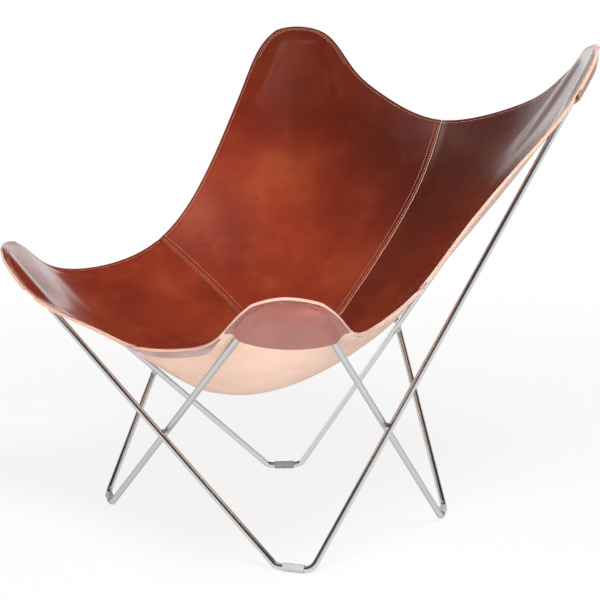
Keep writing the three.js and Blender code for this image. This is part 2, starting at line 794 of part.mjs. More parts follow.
function pocketSheet(name) {
  const frame = frames[name];
  const rim = rims[name];
  const local = (signed) => {
    const table = signed < 0 ? rim.end : rim.side;
    const offset = onRim(table, Math.abs(signed)).sub(frame.middle);
    const point = new THREE.Vector3(
      offset.dot(frame.along),
      offset.dot(frame.down),
      offset.dot(frame.normal),
    );
    const inwards = new THREE.Vector3(-point.x, pocketMouthDepth / 2 - point.y, 0);
    return point.addScaledVector(inwards.normalize(), pocketInset);
  };
  const downStations = [0, hemFlange / pocketDepth, (hemFlange + pocketSlope) / pocketDepth];
  const restStart = downStations[2];
  for (let i = 1; i <= pocketCells; i += 1) {
    downStations.push(restStart + ((1 - restStart) * i) / pocketCells);
  }
  const mouth = (w) => {
    const left = local(-pocketReach);
    const right = local(pocketReach);
    const point = left.clone().lerp(right, (w + 1) / 2);
    point.y += (pocketMouthDepth - point.y) * (1 - w * w);
    return point;
  };
  const top = [];
  const bottom = [];
  for (const v of downStations) {
    const left = local(-(pocketShoulder + v * pocketFlank));
    const right = local(pocketShoulder + v * pocketFlank);
    const half = left.distanceTo(right) / 2;
    const sideStations = [];
    const inner = (half - hemFlange - pocketSlope) / half;
    const flange = (half - hemFlange) / half;
    for (let i = 0; i <= pocketCells; i += 1) {
      sideStations.push(((2 * i) / pocketCells - 1) * inner);
    }
    const all = [-1, -flange, ...sideStations, flange, 1];
    const topRow = [];
    const bottomRow = [];
    for (const w of all) {
      const upperEdge = local(w * pocketShoulder);
      const lowerEdge = mouth(w);
      const sides = left.clone().lerp(right, (w + 1) / 2);
      const ends = upperEdge.clone().lerp(lowerEdge, v);
      const cornerA = local(-pocketShoulder).lerp(local(pocketShoulder), (w + 1) / 2);
      const cornerB = local(-pocketReach).lerp(local(pocketReach), (w + 1) / 2);
      const flat = sides.add(ends).sub(cornerA.lerp(cornerB, v));
      const fromTop = v * pocketDepth;
      const fromSide = (1 - Math.abs(w)) * half;
      const slope = Math.min(Math.max((Math.min(fromTop, fromSide) - hemFlange) / pocketSlope, 0), 1);
      const flangeLift = flat.z - halfLeather - pocketThickness / 2;
      const bellyLift = -rodSeat - pocketThickness / 2 - pocketBulge * (1 - w * w) * smooth(v * 2);
      const lift = flangeLift + (bellyLift - flangeLift) * slope;
      const middle = inCorner(frame, flat.x, flat.y, lift);
      topRow.push(middle.clone().addScaledVector(frame.normal, pocketThickness / 2));
      bottomRow.push(middle.clone().addScaledVector(frame.normal, -pocketThickness / 2));
    }
    top.push(topRow);
    bottom.push(bottomRow);
  }
  return outwards(closedSheet(top, bottom));
}

for (const name of Object.keys(panels)) {
  const sheet = toManifold(pocketSheet(name)).subtract(panelCutters[name])
    .subtract(rodCutters[name]);
  addPiece(`corner_pocket_${name}`, fromManifold(sheet), cognacPocket);
}

// Edge strips: a band under each free edge of a panel, from beside the pocket to beside the
// seam. It takes its places from the panel's own grid, so that it lies against the panel.
function stripSheet(name, edge) {
  const grid = grids[name];
  const onSideEdge = edge === 'side';
  const under = onSideEdge ? panels[name].underAlong : panels[name].underAcross;
  const inner = onSideEdge ? grid : grid[0].map((place, j) => grid.map((row) => row[j]));
  const columns = inner.slice(-3).reverse();
  const lines = columns[0].map((place, k) => columns.map((column) => column[k]));
  const firstLine = under ? 2 : joggleCells + 1;
  const kept = [];
  let length = 0;
  for (let k = lines.length - 1; k >= firstLine; k -= 1) {
    if (length > pocketReach + stripSetback) {
      kept.push(lines[k]);
    }
    length += lines[k][0].point.distanceTo(lines[k - 1][0].point);
  }
  const low = -halfLeather - clearance;
  return sheetBetween(kept, low, low - stripThickness);
}

for (const name of Object.keys(panels)) {
  for (const edge of ['side', 'end']) {
    const label = edge === 'side' ? 'side' : name.split('_')[0];
    const sheet = toManifold(stripSheet(name, edge)).subtract(rodCutters[name]);
    addPiece(`edge_strip_${name}_${label}`, fromManifold(sheet), cognacStrip);
  }
}

export default chair;
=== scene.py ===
# Butterfly sling chair: a leather sling sewn from four panels hangs by its corner pockets
# on two closed loops of bent, chromed steel rod. Metres, in the frame of the solid model.
import math

import bpy
import numpy as np
from mathutils import Matrix, Vector
from mathutils.bvhtree import BVHTree


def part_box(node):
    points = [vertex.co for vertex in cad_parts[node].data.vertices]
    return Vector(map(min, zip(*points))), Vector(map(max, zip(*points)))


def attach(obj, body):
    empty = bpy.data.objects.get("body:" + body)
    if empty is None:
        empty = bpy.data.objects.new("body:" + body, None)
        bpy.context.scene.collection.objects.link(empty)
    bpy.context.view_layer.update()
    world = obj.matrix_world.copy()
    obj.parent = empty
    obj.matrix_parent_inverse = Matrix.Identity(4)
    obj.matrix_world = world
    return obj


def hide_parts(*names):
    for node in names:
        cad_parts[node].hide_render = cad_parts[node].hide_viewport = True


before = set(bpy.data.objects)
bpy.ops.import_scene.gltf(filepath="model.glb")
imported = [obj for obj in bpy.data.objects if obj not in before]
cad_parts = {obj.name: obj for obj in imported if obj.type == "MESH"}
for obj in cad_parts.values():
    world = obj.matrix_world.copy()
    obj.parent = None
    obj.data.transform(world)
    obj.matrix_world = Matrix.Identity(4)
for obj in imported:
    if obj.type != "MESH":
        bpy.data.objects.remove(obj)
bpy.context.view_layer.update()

# Camera
# A long lens, a little higher than the chair, looks at it over its front right corner. Its
# place and turn were fitted to the straight rods and the bends in the photo.
camera_place = Vector((2.6177, -2.3861, 1.1026))
camera_yaw = math.radians(47.439)
camera_tilt = math.radians(79.078)
camera_roll = math.radians(0.386)
focal_pixels = 1871.93
picture_pixels = 600

camera_data = bpy.data.cameras.new("camera")
camera_data.lens = focal_pixels / picture_pixels * camera_data.sensor_width
camera = bpy.data.objects.new("camera", camera_data)
bpy.context.scene.collection.objects.link(camera)
bpy.context.scene.camera = camera
camera.matrix_world = (
    Matrix.Translation(camera_place)
    @ Matrix.Rotation(camera_yaw, 4, "Z")
    @ Matrix.Rotation(camera_tilt, 4, "X")
    @ Matrix.Rotation(camera_roll, 4, "Z")
)
bpy.context.scene.view_settings.view_transform = "Standard"

# Studio
# A white floor in a white studio. What the camera sees behind the chair is plain white. In
# gloss, the white lies low behind the chair and on its left, and the rest is darker.
floor_size = 40
floor_colour = (0.8, 0.8, 0.8, 1)
floor_fade_start = 0.9
floor_fade_end = 2.6
floor_white_share = 0.84
white = (1, 1, 1, 1)
ambient_strength = 0.5
gloss_strength = 1.45
gloss_turns = [0, 0.22, 0.37, 0.44, 0.6, 0.7, 0.9, 1]
gloss_levels = [0.45, 0.75, 0.8, 1, 1, 0.4, 0.35, 0.45]
gloss_heights = [0, 0.33, 0.42, 1]
gloss_height_levels = [1, 1, 0.045, 0.03]
lamps = {
    "key_lamp": {"place": (1.5, -0.7, 2.9), "size": 1.3, "watts": 88},
    "front_lamp": {"place": (1.2, -3.4, 1.2), "size": 1.8, "watts": 22},
    "under_lamp": {"place": (1.7, -2.3, 0.25), "size": 0.9, "watts": 22},
}
lamp_target = Vector((0, 0, 0.5))


def feed(tree, node, given):
    for key, value in given.items():
        if isinstance(value, bpy.types.Node):
            value = value.outputs[0]
        if isinstance(value, bpy.types.NodeSocket):
            tree.links.new(value, node.inputs[key])
        else:
            node.inputs[key].default_value = value


def new_node(tree, kind, given=None, **settings):
    node = tree.nodes.new(kind)
    for name, value in settings.items():
        setattr(node, name, value)
    feed(tree, node, given or {})
    return node


def new_math(tree, operation, *given):
    return new_node(tree, "ShaderNodeMath", dict(enumerate(given)), operation=operation)


def new_ramp(tree, source, places, colours):
    ramp = new_node(tree, "ShaderNodeValToRGB", {0: source})
    stops = ramp.color_ramp.elements
    while len(stops) < len(places):
        stops.new(0)
    for stop, place, colour in zip(stops, places, colours):
        stop.position = place
        stop.color = colour
    return ramp


def multiplied(tree, first, second):
    given = {"Factor": 1, "A": first, "B": second}
    product = new_node(tree, "ShaderNodeMix", given, data_type="RGBA", blend_type="MULTIPLY")
    return product.outputs["Result"]


def greys(levels):
    return [(level, level, level, 1) for level in levels]


def coordinates(tree, space="Object"):
    return new_node(tree, "ShaderNodeTexCoord").outputs[space]


def mesh_piece(name, points, faces, paints, paint_index=None, uv=None):
    mesh = bpy.data.meshes.new(name)
    faces = faces.tolist() if isinstance(faces, np.ndarray) else faces
    mesh.from_pydata(np.asarray(points).tolist(), [], faces)
    for paint in paints:
        mesh.materials.append(paint)
    mesh.polygons.foreach_set("use_smooth", np.ones(len(mesh.polygons), dtype=bool))
    if paint_index is not None:
        mesh.polygons.foreach_set("material_index", np.asarray(paint_index, dtype=np.int32))
    if uv is not None:
        corners = np.empty(len(mesh.loops), dtype=np.int32)
        mesh.loops.foreach_get("vertex_index", corners)
        layer = mesh.uv_layers.new(name="UVMap")
        layer.data.foreach_set("uv", np.asarray(uv, dtype=np.float32)[corners].ravel())
    mesh.update()
    piece = bpy.data.objects.new(name, mesh)
    bpy.context.scene.collection.objects.link(piece)
    return piece


floor_paint = bpy.data.materials.new("floor_paint")
floor_paint.use_nodes = True
tree = floor_paint.node_tree
tree.nodes.clear()
rays = new_node(tree, "ShaderNodeLightPath").outputs
reach = new_node(tree, "ShaderNodeVectorMath", {0: coordinates(tree)}, operation="LENGTH")
fade = new_node(tree, "ShaderNodeMapRange", {
    "Value": reach.outputs["Value"],
    "From Min": floor_fade_start,
    "From Max": floor_fade_end,
    "To Min": floor_white_share,
}, interpolation_type="SMOOTHSTEP")
straight = new_math(tree, "MAXIMUM", rays["Is Camera Ray"], rays["Is Glossy Ray"])
seen = new_math(tree, "MULTIPLY", straight, fade)
matt = new_node(tree, "ShaderNodeBsdfDiffuse", {"Color": floor_colour})
glow = new_node(tree, "ShaderNodeEmission", {"Color": white})
choice = new_node(tree, "ShaderNodeMixShader", {0: seen, 1: matt, 2: glow})
new_node(tree, "ShaderNodeOutputMaterial", {"Surface": choice})
square = np.array([(-1, -1, 0), (1, -1, 0), (1, 1, 0), (-1, 1, 0)])
floor = mesh_piece("floor", square * floor_size / 2, [(0, 1, 2, 3)], [floor_paint])

world = bpy.data.worlds.new("surround")
bpy.context.scene.world = world
world.use_nodes = True
tree = world.node_tree
tree.nodes.clear()
parts = new_node(tree, "ShaderNodeSeparateXYZ", {0: coordinates(tree, "Generated")}).outputs
angle = new_math(tree, "ARCTAN2", parts["Y"], parts["X"])
wrapped = new_math(tree, "WRAP", angle, math.tau, 0)
share_of_turn = new_math(tree, "DIVIDE", wrapped, math.tau)
round_about = new_ramp(tree, share_of_turn, gloss_turns, greys(gloss_levels))
up_and_down = new_ramp(tree, parts["Z"], gloss_heights, greys(gloss_height_levels))
ambient = new_node(tree, "ShaderNodeBackground", {"Strength": ambient_strength})
mirrored = new_node(tree, "ShaderNodeBackground", {
    "Color": multiplied(tree, round_about, up_and_down),
    "Strength": gloss_strength,
})
plain = new_node(tree, "ShaderNodeBackground", {"Color": white})
rays = new_node(tree, "ShaderNodeLightPath").outputs
in_gloss = new_node(tree, "ShaderNodeMixShader", {
    0: rays["Is Glossy Ray"], 1: ambient, 2: mirrored,
})
in_view = new_node(tree, "ShaderNodeMixShader", {0: rays["Is Camera Ray"], 1: in_gloss, 2: plain})
new_node(tree, "ShaderNodeOutputWorld", {"Surface": in_view})

for name, lamp in lamps.items():
    lamp_data = bpy.data.lights.new(name, "AREA")
    lamp_data.size = lamp["size"]
    lamp_data.energy = lamp["watts"]
    lamp_object = bpy.data.objects.new(name, lamp_data)
    lamp_object.location = lamp["place"]
    aim = lamp_target - lamp_object.location
    lamp_object.rotation_euler = aim.to_track_quat("-Z", "Y").to_euler()
    lamp_object.visible_camera = False
    lamp_object.visible_glossy = False
    bpy.context.scene.collection.objects.link(lamp_object)

# Bent rods
# Four bows of round chromed steel rod, 12 mm thick, cold bent: each runs from the middle of
# one foot up over a corner of the sling and down to the next foot. Two bows make a loop.
rod_diameter = 0.012
clearance = 0.0003
centre_shift = 0.00609
low_corner = {"across": 0.3984, "along": -0.3844, "height": 0.503, "turn": 43}
high_corner = {"across": 0.3958, "along": 0.3784, "height": 0.891, "turn": 138.8}
corner_run = 0.093
corner_bend_radius = 0.028
front_foot = {"across": 0.2723, "along": -0.2495, "turn": 29.8}
back_foot = {"across": 0.2294, "along": 0.182, "turn": 127.8}
foot_run = 0.067
foot_bend_radius = 0.02
sleeve_wall = 0.0015
loop_shift_across = 0.006262
loop_shift_forward = 0.006426
foot_sway = 0.001334
rod_sides = 48
bend_steps = 24
straight_steps = 40
# The chrome colour darkens from the rod's face towards its grazing edges: a painted dark
# reflection along the rod edges.
chrome_tones_with_painted_dark_edges = [(0.7, 0.71, 0.725, 1), (0.5, 0.51, 0.52, 1), (0.17, 0.175, 0.18, 1)]
chrome_tone_places = [0.3, 0.6, 0.88]
chrome_roughness = (0.176, 0.286)
chrome_drawing_scale = 900
chrome_drawing_stretch = 0.02
chrome_drawing_depth = 0.000006

rod_radius = rod_diameter / 2
rod_seat = rod_radius + clearance
sleeve_radius = rod_seat + sleeve_wall


def size_of(vectors):
    return np.linalg.norm(vectors, axis=-1)


def unit(vectors):
    return vectors / size_of(vectors)[..., None]


def running_length(places):
    return np.concatenate([[0], np.cumsum(size_of(np.diff(places, axis=0)))])


def run_at(spot, height, length):
    angle = math.radians(spot["turn"])
    middle = np.array([spot["across"], spot["along"], height])
    half = np.array([math.cos(angle), math.sin(angle), 0]) * length / 2
    return np.array([middle - half, middle + half])


def placed(run, side, loop, sway):
    moved = run * [side, 1, 1]
    return moved + [loop * loop_shift_across + sway, centre_shift - loop * loop_shift_forward, 0]


def nearer_end(run, point):
    return int(np.argmin(np.linalg.norm(run - point, axis=1)))


def foot_points(foot, point):
    bend = foot[nearer_end(foot, point)]
    middle = foot.mean(axis=0)
    return [middle + unit(bend - middle) * clearance / 2, bend]


def bow_points(corner, first_foot, second_foot):
    top = corner.mean(axis=0)
    first = nearer_end(corner, first_foot.mean(axis=0))
    start = foot_points(first_foot, top)
    end = foot_points(second_foot, top)[::-1]
    return np.array([*start, corner[first], corner[1 - first], *end])


def bent_line(points, radii):
    line = [points[0]]
    for before, corner, after, radius in zip(points[:-2], points[1:-1], points[2:], radii):
        back = unit(before - corner)
        ahead = unit(after - corner)
        half = math.acos(back @ ahead) / 2
        centre = corner + unit(back + ahead) * radius / math.sin(half)
        start = corner + back * radius / math.tan(half) - centre
        end = corner + ahead * radius / math.tan(half) - centre
        sweep = math.pi - 2 * half
        straight = np.linspace(line[-1], centre + start, straight_steps)[1:-1]
        line.extend(straight)
        for step in np.linspace(0, sweep, bend_steps):
            line.append(
                centre + (start * math.sin(sweep - step) + end * math.sin(step)) / math.sin(sweep)
            )
    line.append(points[-1])
    return np.array(line)


def spokes(sides, first, second):
    turns = np.arange(sides)[:, None] * math.tau / sides
    return np.cos(turns) * first + np.sin(turns) * second


def ring_faces(rows, sides, closed=False):
    i, k = np.meshgrid(np.arange(rows if closed else rows - 1), np.arange(sides), indexing="ij")
    near = i * sides
    far = (i + 1) % rows * sides
    after = (k + 1) % sides
    return np.stack([near + k, near + after, far + after, far + k], axis=-1).reshape(-1, 4)


def capped_faces(rows, sides):
    last = (rows - 1) * sides
    caps = [list(range(sides))[::-1], list(range(last, last + sides))]
    return ring_faces(rows, sides).tolist() + caps


def rod_along(name, line, radius, paint):
    tangents = unit(np.gradient(line, axis=0))
    across = np.array([0.0, 0, 1])
    rings = []
    for point, tangent in zip(line, tangents):
        across = unit(across - (across @ tangent) * tangent)
        rings.append(point + radius * spokes(rod_sides, across, np.cross(tangent, across)))
    girths = np.arange(rod_sides) * math.tau * radius / rod_sides
    uv = np.stack(np.meshgrid(running_length(line), girths, indexing="ij"), axis=-1)
    faces = capped_faces(len(line), rod_sides)
    return mesh_piece(name, np.concatenate(rings), faces, [paint], uv=uv.reshape(-1, 2))


def new_paint(name):
    paint = bpy.data.materials.new(name)
    paint.use_nodes = True
    return paint, paint.node_tree, paint.node_tree.nodes["Principled BSDF"]


def new_noise(tree, place, scale, detail=2):
    given = {"Vector": place, "Scale": scale, "Detail": detail}
    return new_node(tree, "ShaderNodeTexNoise", given)


def new_bump(tree, height, depth, normal=None):
    given = {"Height": height, "Distance": depth}
    if normal:
        given["Normal"] = normal
    return new_node(tree, "ShaderNodeBump", given)


chrome, tree, shader = new_paint("satin_chrome")
# The base colour follows how far the surface turns away from view: chrome in front, painted dark
# reflection at the edges.
turning_away = new_node(tree, "ShaderNodeLayerWeight").outputs["Facing"]
along_rod = new_node(tree, "ShaderNodeMapping", {
    "Vector": coordinates(tree, "UV"), "Scale": (chrome_drawing_stretch, 1, 1),
})
drawing = new_noise(tree, along_rod, chrome_drawing_scale)
smear = new_node(tree, "ShaderNodeMapRange", {
    "Value": drawing, "To Min": chrome_roughness[0], "To Max": chrome_roughness[1],
})
feed(tree, shader, {
    "Base Color": new_ramp(tree, turning_away, chrome_tone_places, chrome_tones_with_painted_dark_edges),
    "Metallic": 1,
    "Roughness": smear,
    "Normal": new_bump(tree, drawing, chrome_drawing_depth),
})

foot_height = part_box("foot_sleeve_front_left")[0][2] + sleeve_radius
low_run = run_at(low_corner, low_corner["height"], corner_run)
high_run = run_at(high_corner, high_corner["height"], corner_run)
front_run = run_at(front_foot, foot_height, foot_run)
back_run = run_at(back_foot, foot_height, foot_run)
feet = {
    "front_left": placed(front_run, -1, -1, foot_sway),
    "front_right": placed(front_run, 1, 1, foot_sway),
    "back_left": placed(back_run, -1, 1, -foot_sway),
    "back_right": placed(back_run, 1, -1, -foot_sway),
}
bows = {
    "front_left": bow_points(placed(low_run, -1, 1, 0), feet["front_right"], feet["back_left"]),
    "front_right": bow_points(placed(low_run, 1, -1, 0), feet["front_left"], feet["back_right"]),
    "back_left": bow_points(placed(high_run, -1, -1, 0), feet["front_left"], feet["back_right"]),
    "back_right": bow_points(placed(high_run, 1, 1, 0), feet["front_right"], feet["back_left"]),
}
bend_radii = [foot_bend_radius, corner_bend_radius, corner_bend_radius, foot_bend_radius]
rod_lines = {}
for name, points in bows.items():
    rod_lines[name] = bent_line(points, bend_radii)
    rod = rod_along(f"rod_{name}", rod_lines[name], rod_radius, chrome)
    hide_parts(f"rod_bow_{name}")
    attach(rod, "root")

# Foot sleeves
# A 40 mm tube of grey nylon pushed tight over each foot, where two bows meet inside it. It
# keeps the steel off the floor. The rims of its ends are slightly rounded.
sleeve_length = 0.04
sleeve_rounding = 0.0009
sleeve_sides = 72
sleeve_round_steps = 4
sleeve_crisp_angle = math.radians(50)
sleeve_colour = (0.43, 0.435, 0.445, 1)
sleeve_colour_worn = (0.52, 0.525, 0.535, 1)
sleeve_roughness = 0.46
sleeve_cloud_scale = 70
sleeve_grain_scale = 1400
sleeve_grain_depth = 0.00006


def new_tint(tree, share, first, second):
    given = {"Factor": share, "A": first, "B": second}
    return new_node(tree, "ShaderNodeMix", given, data_type="RGBA").outputs["Result"]


nylon, tree, shader = new_paint("grey_nylon")
place = coordinates(tree)
cloud = new_noise(tree, place, sleeve_cloud_scale)
feed(tree, shader, {
    "Base Color": new_tint(tree, cloud, sleeve_colour, sleeve_colour_worn),
    "Roughness": sleeve_roughness,
    "Normal": new_bump(tree, new_noise(tree, place, sleeve_grain_scale), sleeve_grain_depth),
})

half_length = sleeve_length / 2
bevel_turns = np.linspace(0, math.pi / 2, sleeve_round_steps)
rim_out = sleeve_radius - sleeve_rounding + sleeve_rounding * np.sin(bevel_turns)
rim_along = half_length - sleeve_rounding + sleeve_rounding * np.cos(bevel_turns)
profile_radius = np.concatenate([[rod_seat], rim_out, rim_out[::-1], [rod_seat]])
profile_along = np.concatenate([[half_length], rim_along, -rim_along[::-1], [-half_length]])
for name, foot in feet.items():
    middle = foot.mean(axis=0)
    direction = unit(foot[1] - foot[0])
    sideways = np.cross(direction, [0, 0, 1])
    ring = spokes(sleeve_sides, sideways, np.array([0, 0, 1]))
    rows = [
        middle + direction * along + radius * ring
        for radius, along in zip(profile_radius, profile_along)
    ]
    faces = ring_faces(len(rows), sleeve_sides, closed=True)
    sleeve = mesh_piece(f"sleeve_{name}", np.concatenate(rows), faces, [nylon])
    sleeve.data.set_sharp_from_angle(angle=sleeve_crisp_angle)
    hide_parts(f"foot_sleeve_{name}")
    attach(sleeve, "root")

# Weld beads
# The loops are welded where they touch, front, back, left and right, and then plated. Each
# bead is a lumpy ball of weld that fills the crook between the two rods.
weld_radius = 0.0084
weld_ripple = 0.05
weld_lumps = 7
weld_swirl = 2
weld_rows = 32
weld_colour = (0.62, 0.63, 0.645, 1)
weld_roughness = 0.3
weld_grain_scale = 700
weld_grain_depth = 0.0003

weld_steel, tree, shader = new_paint("plated_weld")
grain = new_noise(tree, coordinates(tree), weld_grain_scale)
feed(tree, shader, {
    "Base Color": weld_colour,
    "Metallic": 1,
    "Roughness": weld_roughness,
    "Normal": new_bump(tree, grain, weld_grain_depth),
})

heights = np.linspace(-math.pi / 2, math.pi / 2, weld_rows)
turns = np.arange(rod_sides) * math.tau / rod_sides
height, around = np.meshgrid(heights, turns, indexing="ij")
lump = np.sin(weld_lumps * around + weld_swirl * height) * np.cos(height) ** 2
reach = weld_radius * (1 + weld_ripple * lump)
level = reach * np.cos(height)
lumpy_ball = np.stack([
    level * np.cos(around), level * np.sin(around), reach * np.sin(height),
], axis=-1).reshape(-1, 3)
welds = {
    "front": (bows["front_left"][1:3], bows["front_right"][1:3]),
    "left": (bows["front_left"][3:5], bows["back_left"][1:3]),
    "right": (bows["front_right"][3:5], bows["back_right"][1:3]),
    "back": (bows["back_left"][3:5], bows["back_right"][3:5]),
}
for name, (leg_a, leg_b) in welds.items():
    u = leg_a[1] - leg_a[0]
    v = leg_b[1] - leg_b[0]
    shares = np.linalg.lstsq(np.stack([u, -v], axis=1), leg_b[0] - leg_a[0], rcond=None)[0]
    middle = (leg_a[0] + shares[0] * u + leg_b[0] + shares[1] * v) / 2
    points = middle + lumpy_ball
    bead = mesh_piece(f"weld_{name}", points, ring_faces(weld_rows, rod_sides), [weld_steel])
    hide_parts(f"weld_bead_{name}")
    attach(bead, "root")

# Sling shape
# The leather hangs between the four corners as a saddle: its middle surface is blended from
# two seams and four free edges. Beyond the rod each lobe turns down, and over the rod the
# leather is drawn up by the steel under it.
leather_thickness = 0.0035
edge_places = {
    "front_middle": (0, -0.3876, 0.3819),
    "front_quarter": (0.1225, -0.3884, 0.3973),
    "side_front": (0.3879, -0.1619, 0.4544),
    "side_middle": (0.368, -0.0391, 0.4982),
    "side_back": (0.3785, 0.0834, 0.6112),
    "back_middle": (0, 0.4006, 0.741),
    "back_quarter": (0.1774, 0.4105, 0.7814),
    "seat_centre": (0, 0.004, 0.296),
    "seat_side": (0.186, 0.012, 0.365),
    "seat_front": (0, -0.19, 0.2665),
    "seat_front_high": (0, -0.3, 0.322),
    "seat_back_low": (0, 0.138, 0.391),
    "seat_back_high": (0, 0.3335, 0.6055),
}
low_lobe = {
    "droop": 0.0033,
    "tip": (0, -0.0325, 0.0016),
    "front_shoulder": (0.0682, -0.0018, -0.0043),
    "front_flank": (0.1245, 0.091, -0.0035),
    "side_shoulder": (0.0747, 0.0046, 0.0027),
    "side_flank": (0.105, 0.0716, 0.0055),
}
high_lobe = {
    "droop": 0.0072,
    "tip": (0, -0.0245, 0.0001),
    "side_shoulder": (0.0664, -0.006, 0.0042),
    "side_flank": (0.1211, 0.1228, 0.0087),
    "back_shoulder": (0.0549, -0.0067, -0.001),
    "back_flank": (0.1163, 0.0808, 0.01),
}
low_left_lobe = {
    **low_lobe,
    "tip": (-0.0059, -0.0197, -0.0041),
    "front_shoulder": (0.0744, 0.0098, -0.0048),
    "side_shoulder": (0.0819, 0.0103, 0.0024),
}
high_left_lobe = {
    **high_lobe,
    "tip": (-0.0023, -0.0243, 0.0005),
    "side_shoulder": (0.0717, -0.0006, 0.0038),
    "back_shoulder": (0.0633, 0.0061, -0.0004),
}
lobes = {
    "front_left": low_left_lobe,
    "front_right": low_lobe,
    "back_left": high_left_lobe,
    "back_right": high_lobe,
}
droop_start = 0.004
droop_width = 0.026
droop_depth = 0.09
droop_fade = 0.17
rod_drape_radius = 0.03
rod_drape_blend = 0.0012
block_length = 1500
slope_limit = 0.97
slope_probe = 0.004

sheet_seat = rod_seat + leather_thickness / 2


def smooth(share):
    share = np.clip(share, 0, 1)
    return share * share * (3 - 2 * share)


def corner_frame(name):
    points = bows[name]
    start, end = points[2], points[3]
    along = unit(end - start)
    leg_a = unit(points[1] - start)
    leg_b = unit(points[4] - end)
    down = leg_a + leg_b
    down = unit(down - (down @ along) * along)
    normal = np.cross(along, down)
    normal *= np.sign(normal[2])
    return {
        "middle": (start + end) / 2,
        "axes": np.array([along, down, normal]),
        "spreads": (-(leg_a @ along) / (leg_a @ down), (leg_b @ along) / (leg_b @ down)),
    }


corners = {name: corner_frame(name) for name in bows}


def spline(points, closed):
    points = np.asarray(points, dtype=float)
    chords = np.sqrt(size_of(np.diff(points, axis=0)))
    marks = np.concatenate([[0], np.cumsum(chords)])
    spans = np.diff(marks)
    slopes = np.diff(points, axis=0) / spans[:, None]
    count = len(points)
    system = np.eye(count)
    turns = np.zeros_like(points)
    for i in range(0 if closed else 1, count - 1):
        before = spans[i - 1]
        last = i - 1 if i else count - 2
        system[i, [last, i, i + 1]] = before, 2 * (before + spans[i]), spans[i]
        turns[i] = 6 * (slopes[i] - slopes[i - 1])
    if closed:
        system[-1, 0] = -1
    bends = np.linalg.solve(system, turns)

    def at(mark):
        i = np.clip(np.searchsorted(marks, mark, side="left") - 1, 0, len(spans) - 1)
        h = spans[i][..., None]
        b = (mark - marks[i])[..., None] / h
        a = 1 - b
        curved = (a**3 - a) * bends[i] + (b**3 - b) * bends[i + 1]
        return a * points[i] + b * points[i + 1] + curved * h * h / 6

    return at, marks


def between_marks(at, first, middle, last):
    def along(share):
        share = np.clip(share, -1, 1)
        bow = share * share * ((first + last) / 2 - middle)
        return at(middle + share * (last - first) / 2 + bow)

    return along


def through_middle(points):
    at, marks = spline(points, closed=False)
    return between_marks(at, 0, marks[len(points) // 2], marks[-1])


def edge_place(name, side=1):
    across, along, height = edge_places[name]
    return np.array([across * side, along + centre_shift, height])


def lobe_places(name, edge):
    corner = corners[name]
    facing = 1 if (edge == "side") == name.startswith("front") else -1
    places = []
    for key in ("tip", f"{edge}_shoulder", f"{edge}_flank"):
        along, depth, lift = lobes[name][key]
        local = np.array([facing * along, depth, sheet_seat + lift])
        places.append(corner["middle"] + local @ corner["axes"])
    return places


def edge_run(edge, side=1):
    if edge == "side":
        hand = "right" if side > 0 else "left"
        first, last = f"front_{hand}", f"back_{hand}"
        middle = [edge_place(f"side_{spot}", side) for spot in ("front", "middle", "back")]
    else:
        first, last = f"{edge}_left", f"{edge}_right"
        quarter = f"{edge}_quarter"
        middle = [edge_place(quarter, -1), edge_place(f"{edge}_middle"), edge_place(quarter)]
    return [*lobe_places(first, edge), *middle, *lobe_places(last, edge)[::-1]]


def edge_curves():
    runs = [edge_run("front"), edge_run("side")]
    runs += [edge_run("back")[::-1], edge_run("side", -1)[::-1]]
    rim = [runs[0][0]]
    for run in runs:
        rim += run[1:]
    at, marks = spline(rim, closed=True)
    curves = []
    for number, run in enumerate(runs):
        first = number * (len(run) - 1)
        ends = [marks[first], marks[first + len(run) // 2], marks[first + len(run) - 1]]
        curves.append(between_marks(at, *(ends if number < 2 else ends[::-1])))
    return curves


cross_seam = through_middle([
    edge_place("side_middle", -1),
    edge_place("seat_side", -1),
    edge_place("seat_centre"),
    edge_place("seat_side"),
    edge_place("side_middle"),
])
length_seam = through_middle([
    edge_place(name) for name in (
        "front_middle", "seat_front_high", "seat_front", "seat_centre",
        "seat_back_low", "seat_back_high", "back_middle",
    )
])
front_edge, right_edge, back_edge, left_edge = edge_curves()
across_curves = [front_edge, cross_seam, back_edge]
along_curves = [left_edge, length_seam, right_edge]


def weights(share):
    return [share * (share - 1) / 2, 1 - share * share, share * (share + 1) / 2]


def blend_point(across, along):
    across_weights = weights(across)
    along_weights = weights(along)
    point = 0
    for i in range(3):
        point = point + across_curves[i](across) * along_weights[i][..., None]
        point = point + along_curves[i](along) * across_weights[i][..., None]
        for j in range(3):
            crossing = across_curves[i](np.array(j - 1.0))
            point = point - crossing * (along_weights[i] * across_weights[j])[..., None]
    return point


def over_rod(name, points, seat, side, drape_radius):
    upright = corners[name]["axes"][2]
    line = rod_lines[name]
    flat = points.reshape(-1, 3)
    nearest = np.empty(len(flat), dtype=int)
    for block in np.array_split(np.arange(len(flat)), 1 + len(flat) // block_length):
        gaps = flat[block, None] - line[None]
        nearest[block] = np.argmin((gaps * gaps).sum(axis=2), axis=1)
    ahead = np.clip(nearest + 1, 0, len(line) - 1)
    behind = np.clip(nearest - 1, 0, len(line) - 1)
    tangent = unit(line[ahead] - line[behind])
    offset = flat - line[nearest]
    offset -= (offset * tangent).sum(axis=1)[:, None] * tangent
    rise = side * (offset @ upright)
    aside = (offset**2).sum(axis=1) - rise**2
    need = seat - aside / (2 * drape_radius) - rise
    lift = (need + np.hypot(need, rod_drape_blend)) / 2
    return points + (side * lift[:, None] * upright).reshape(points.shape)


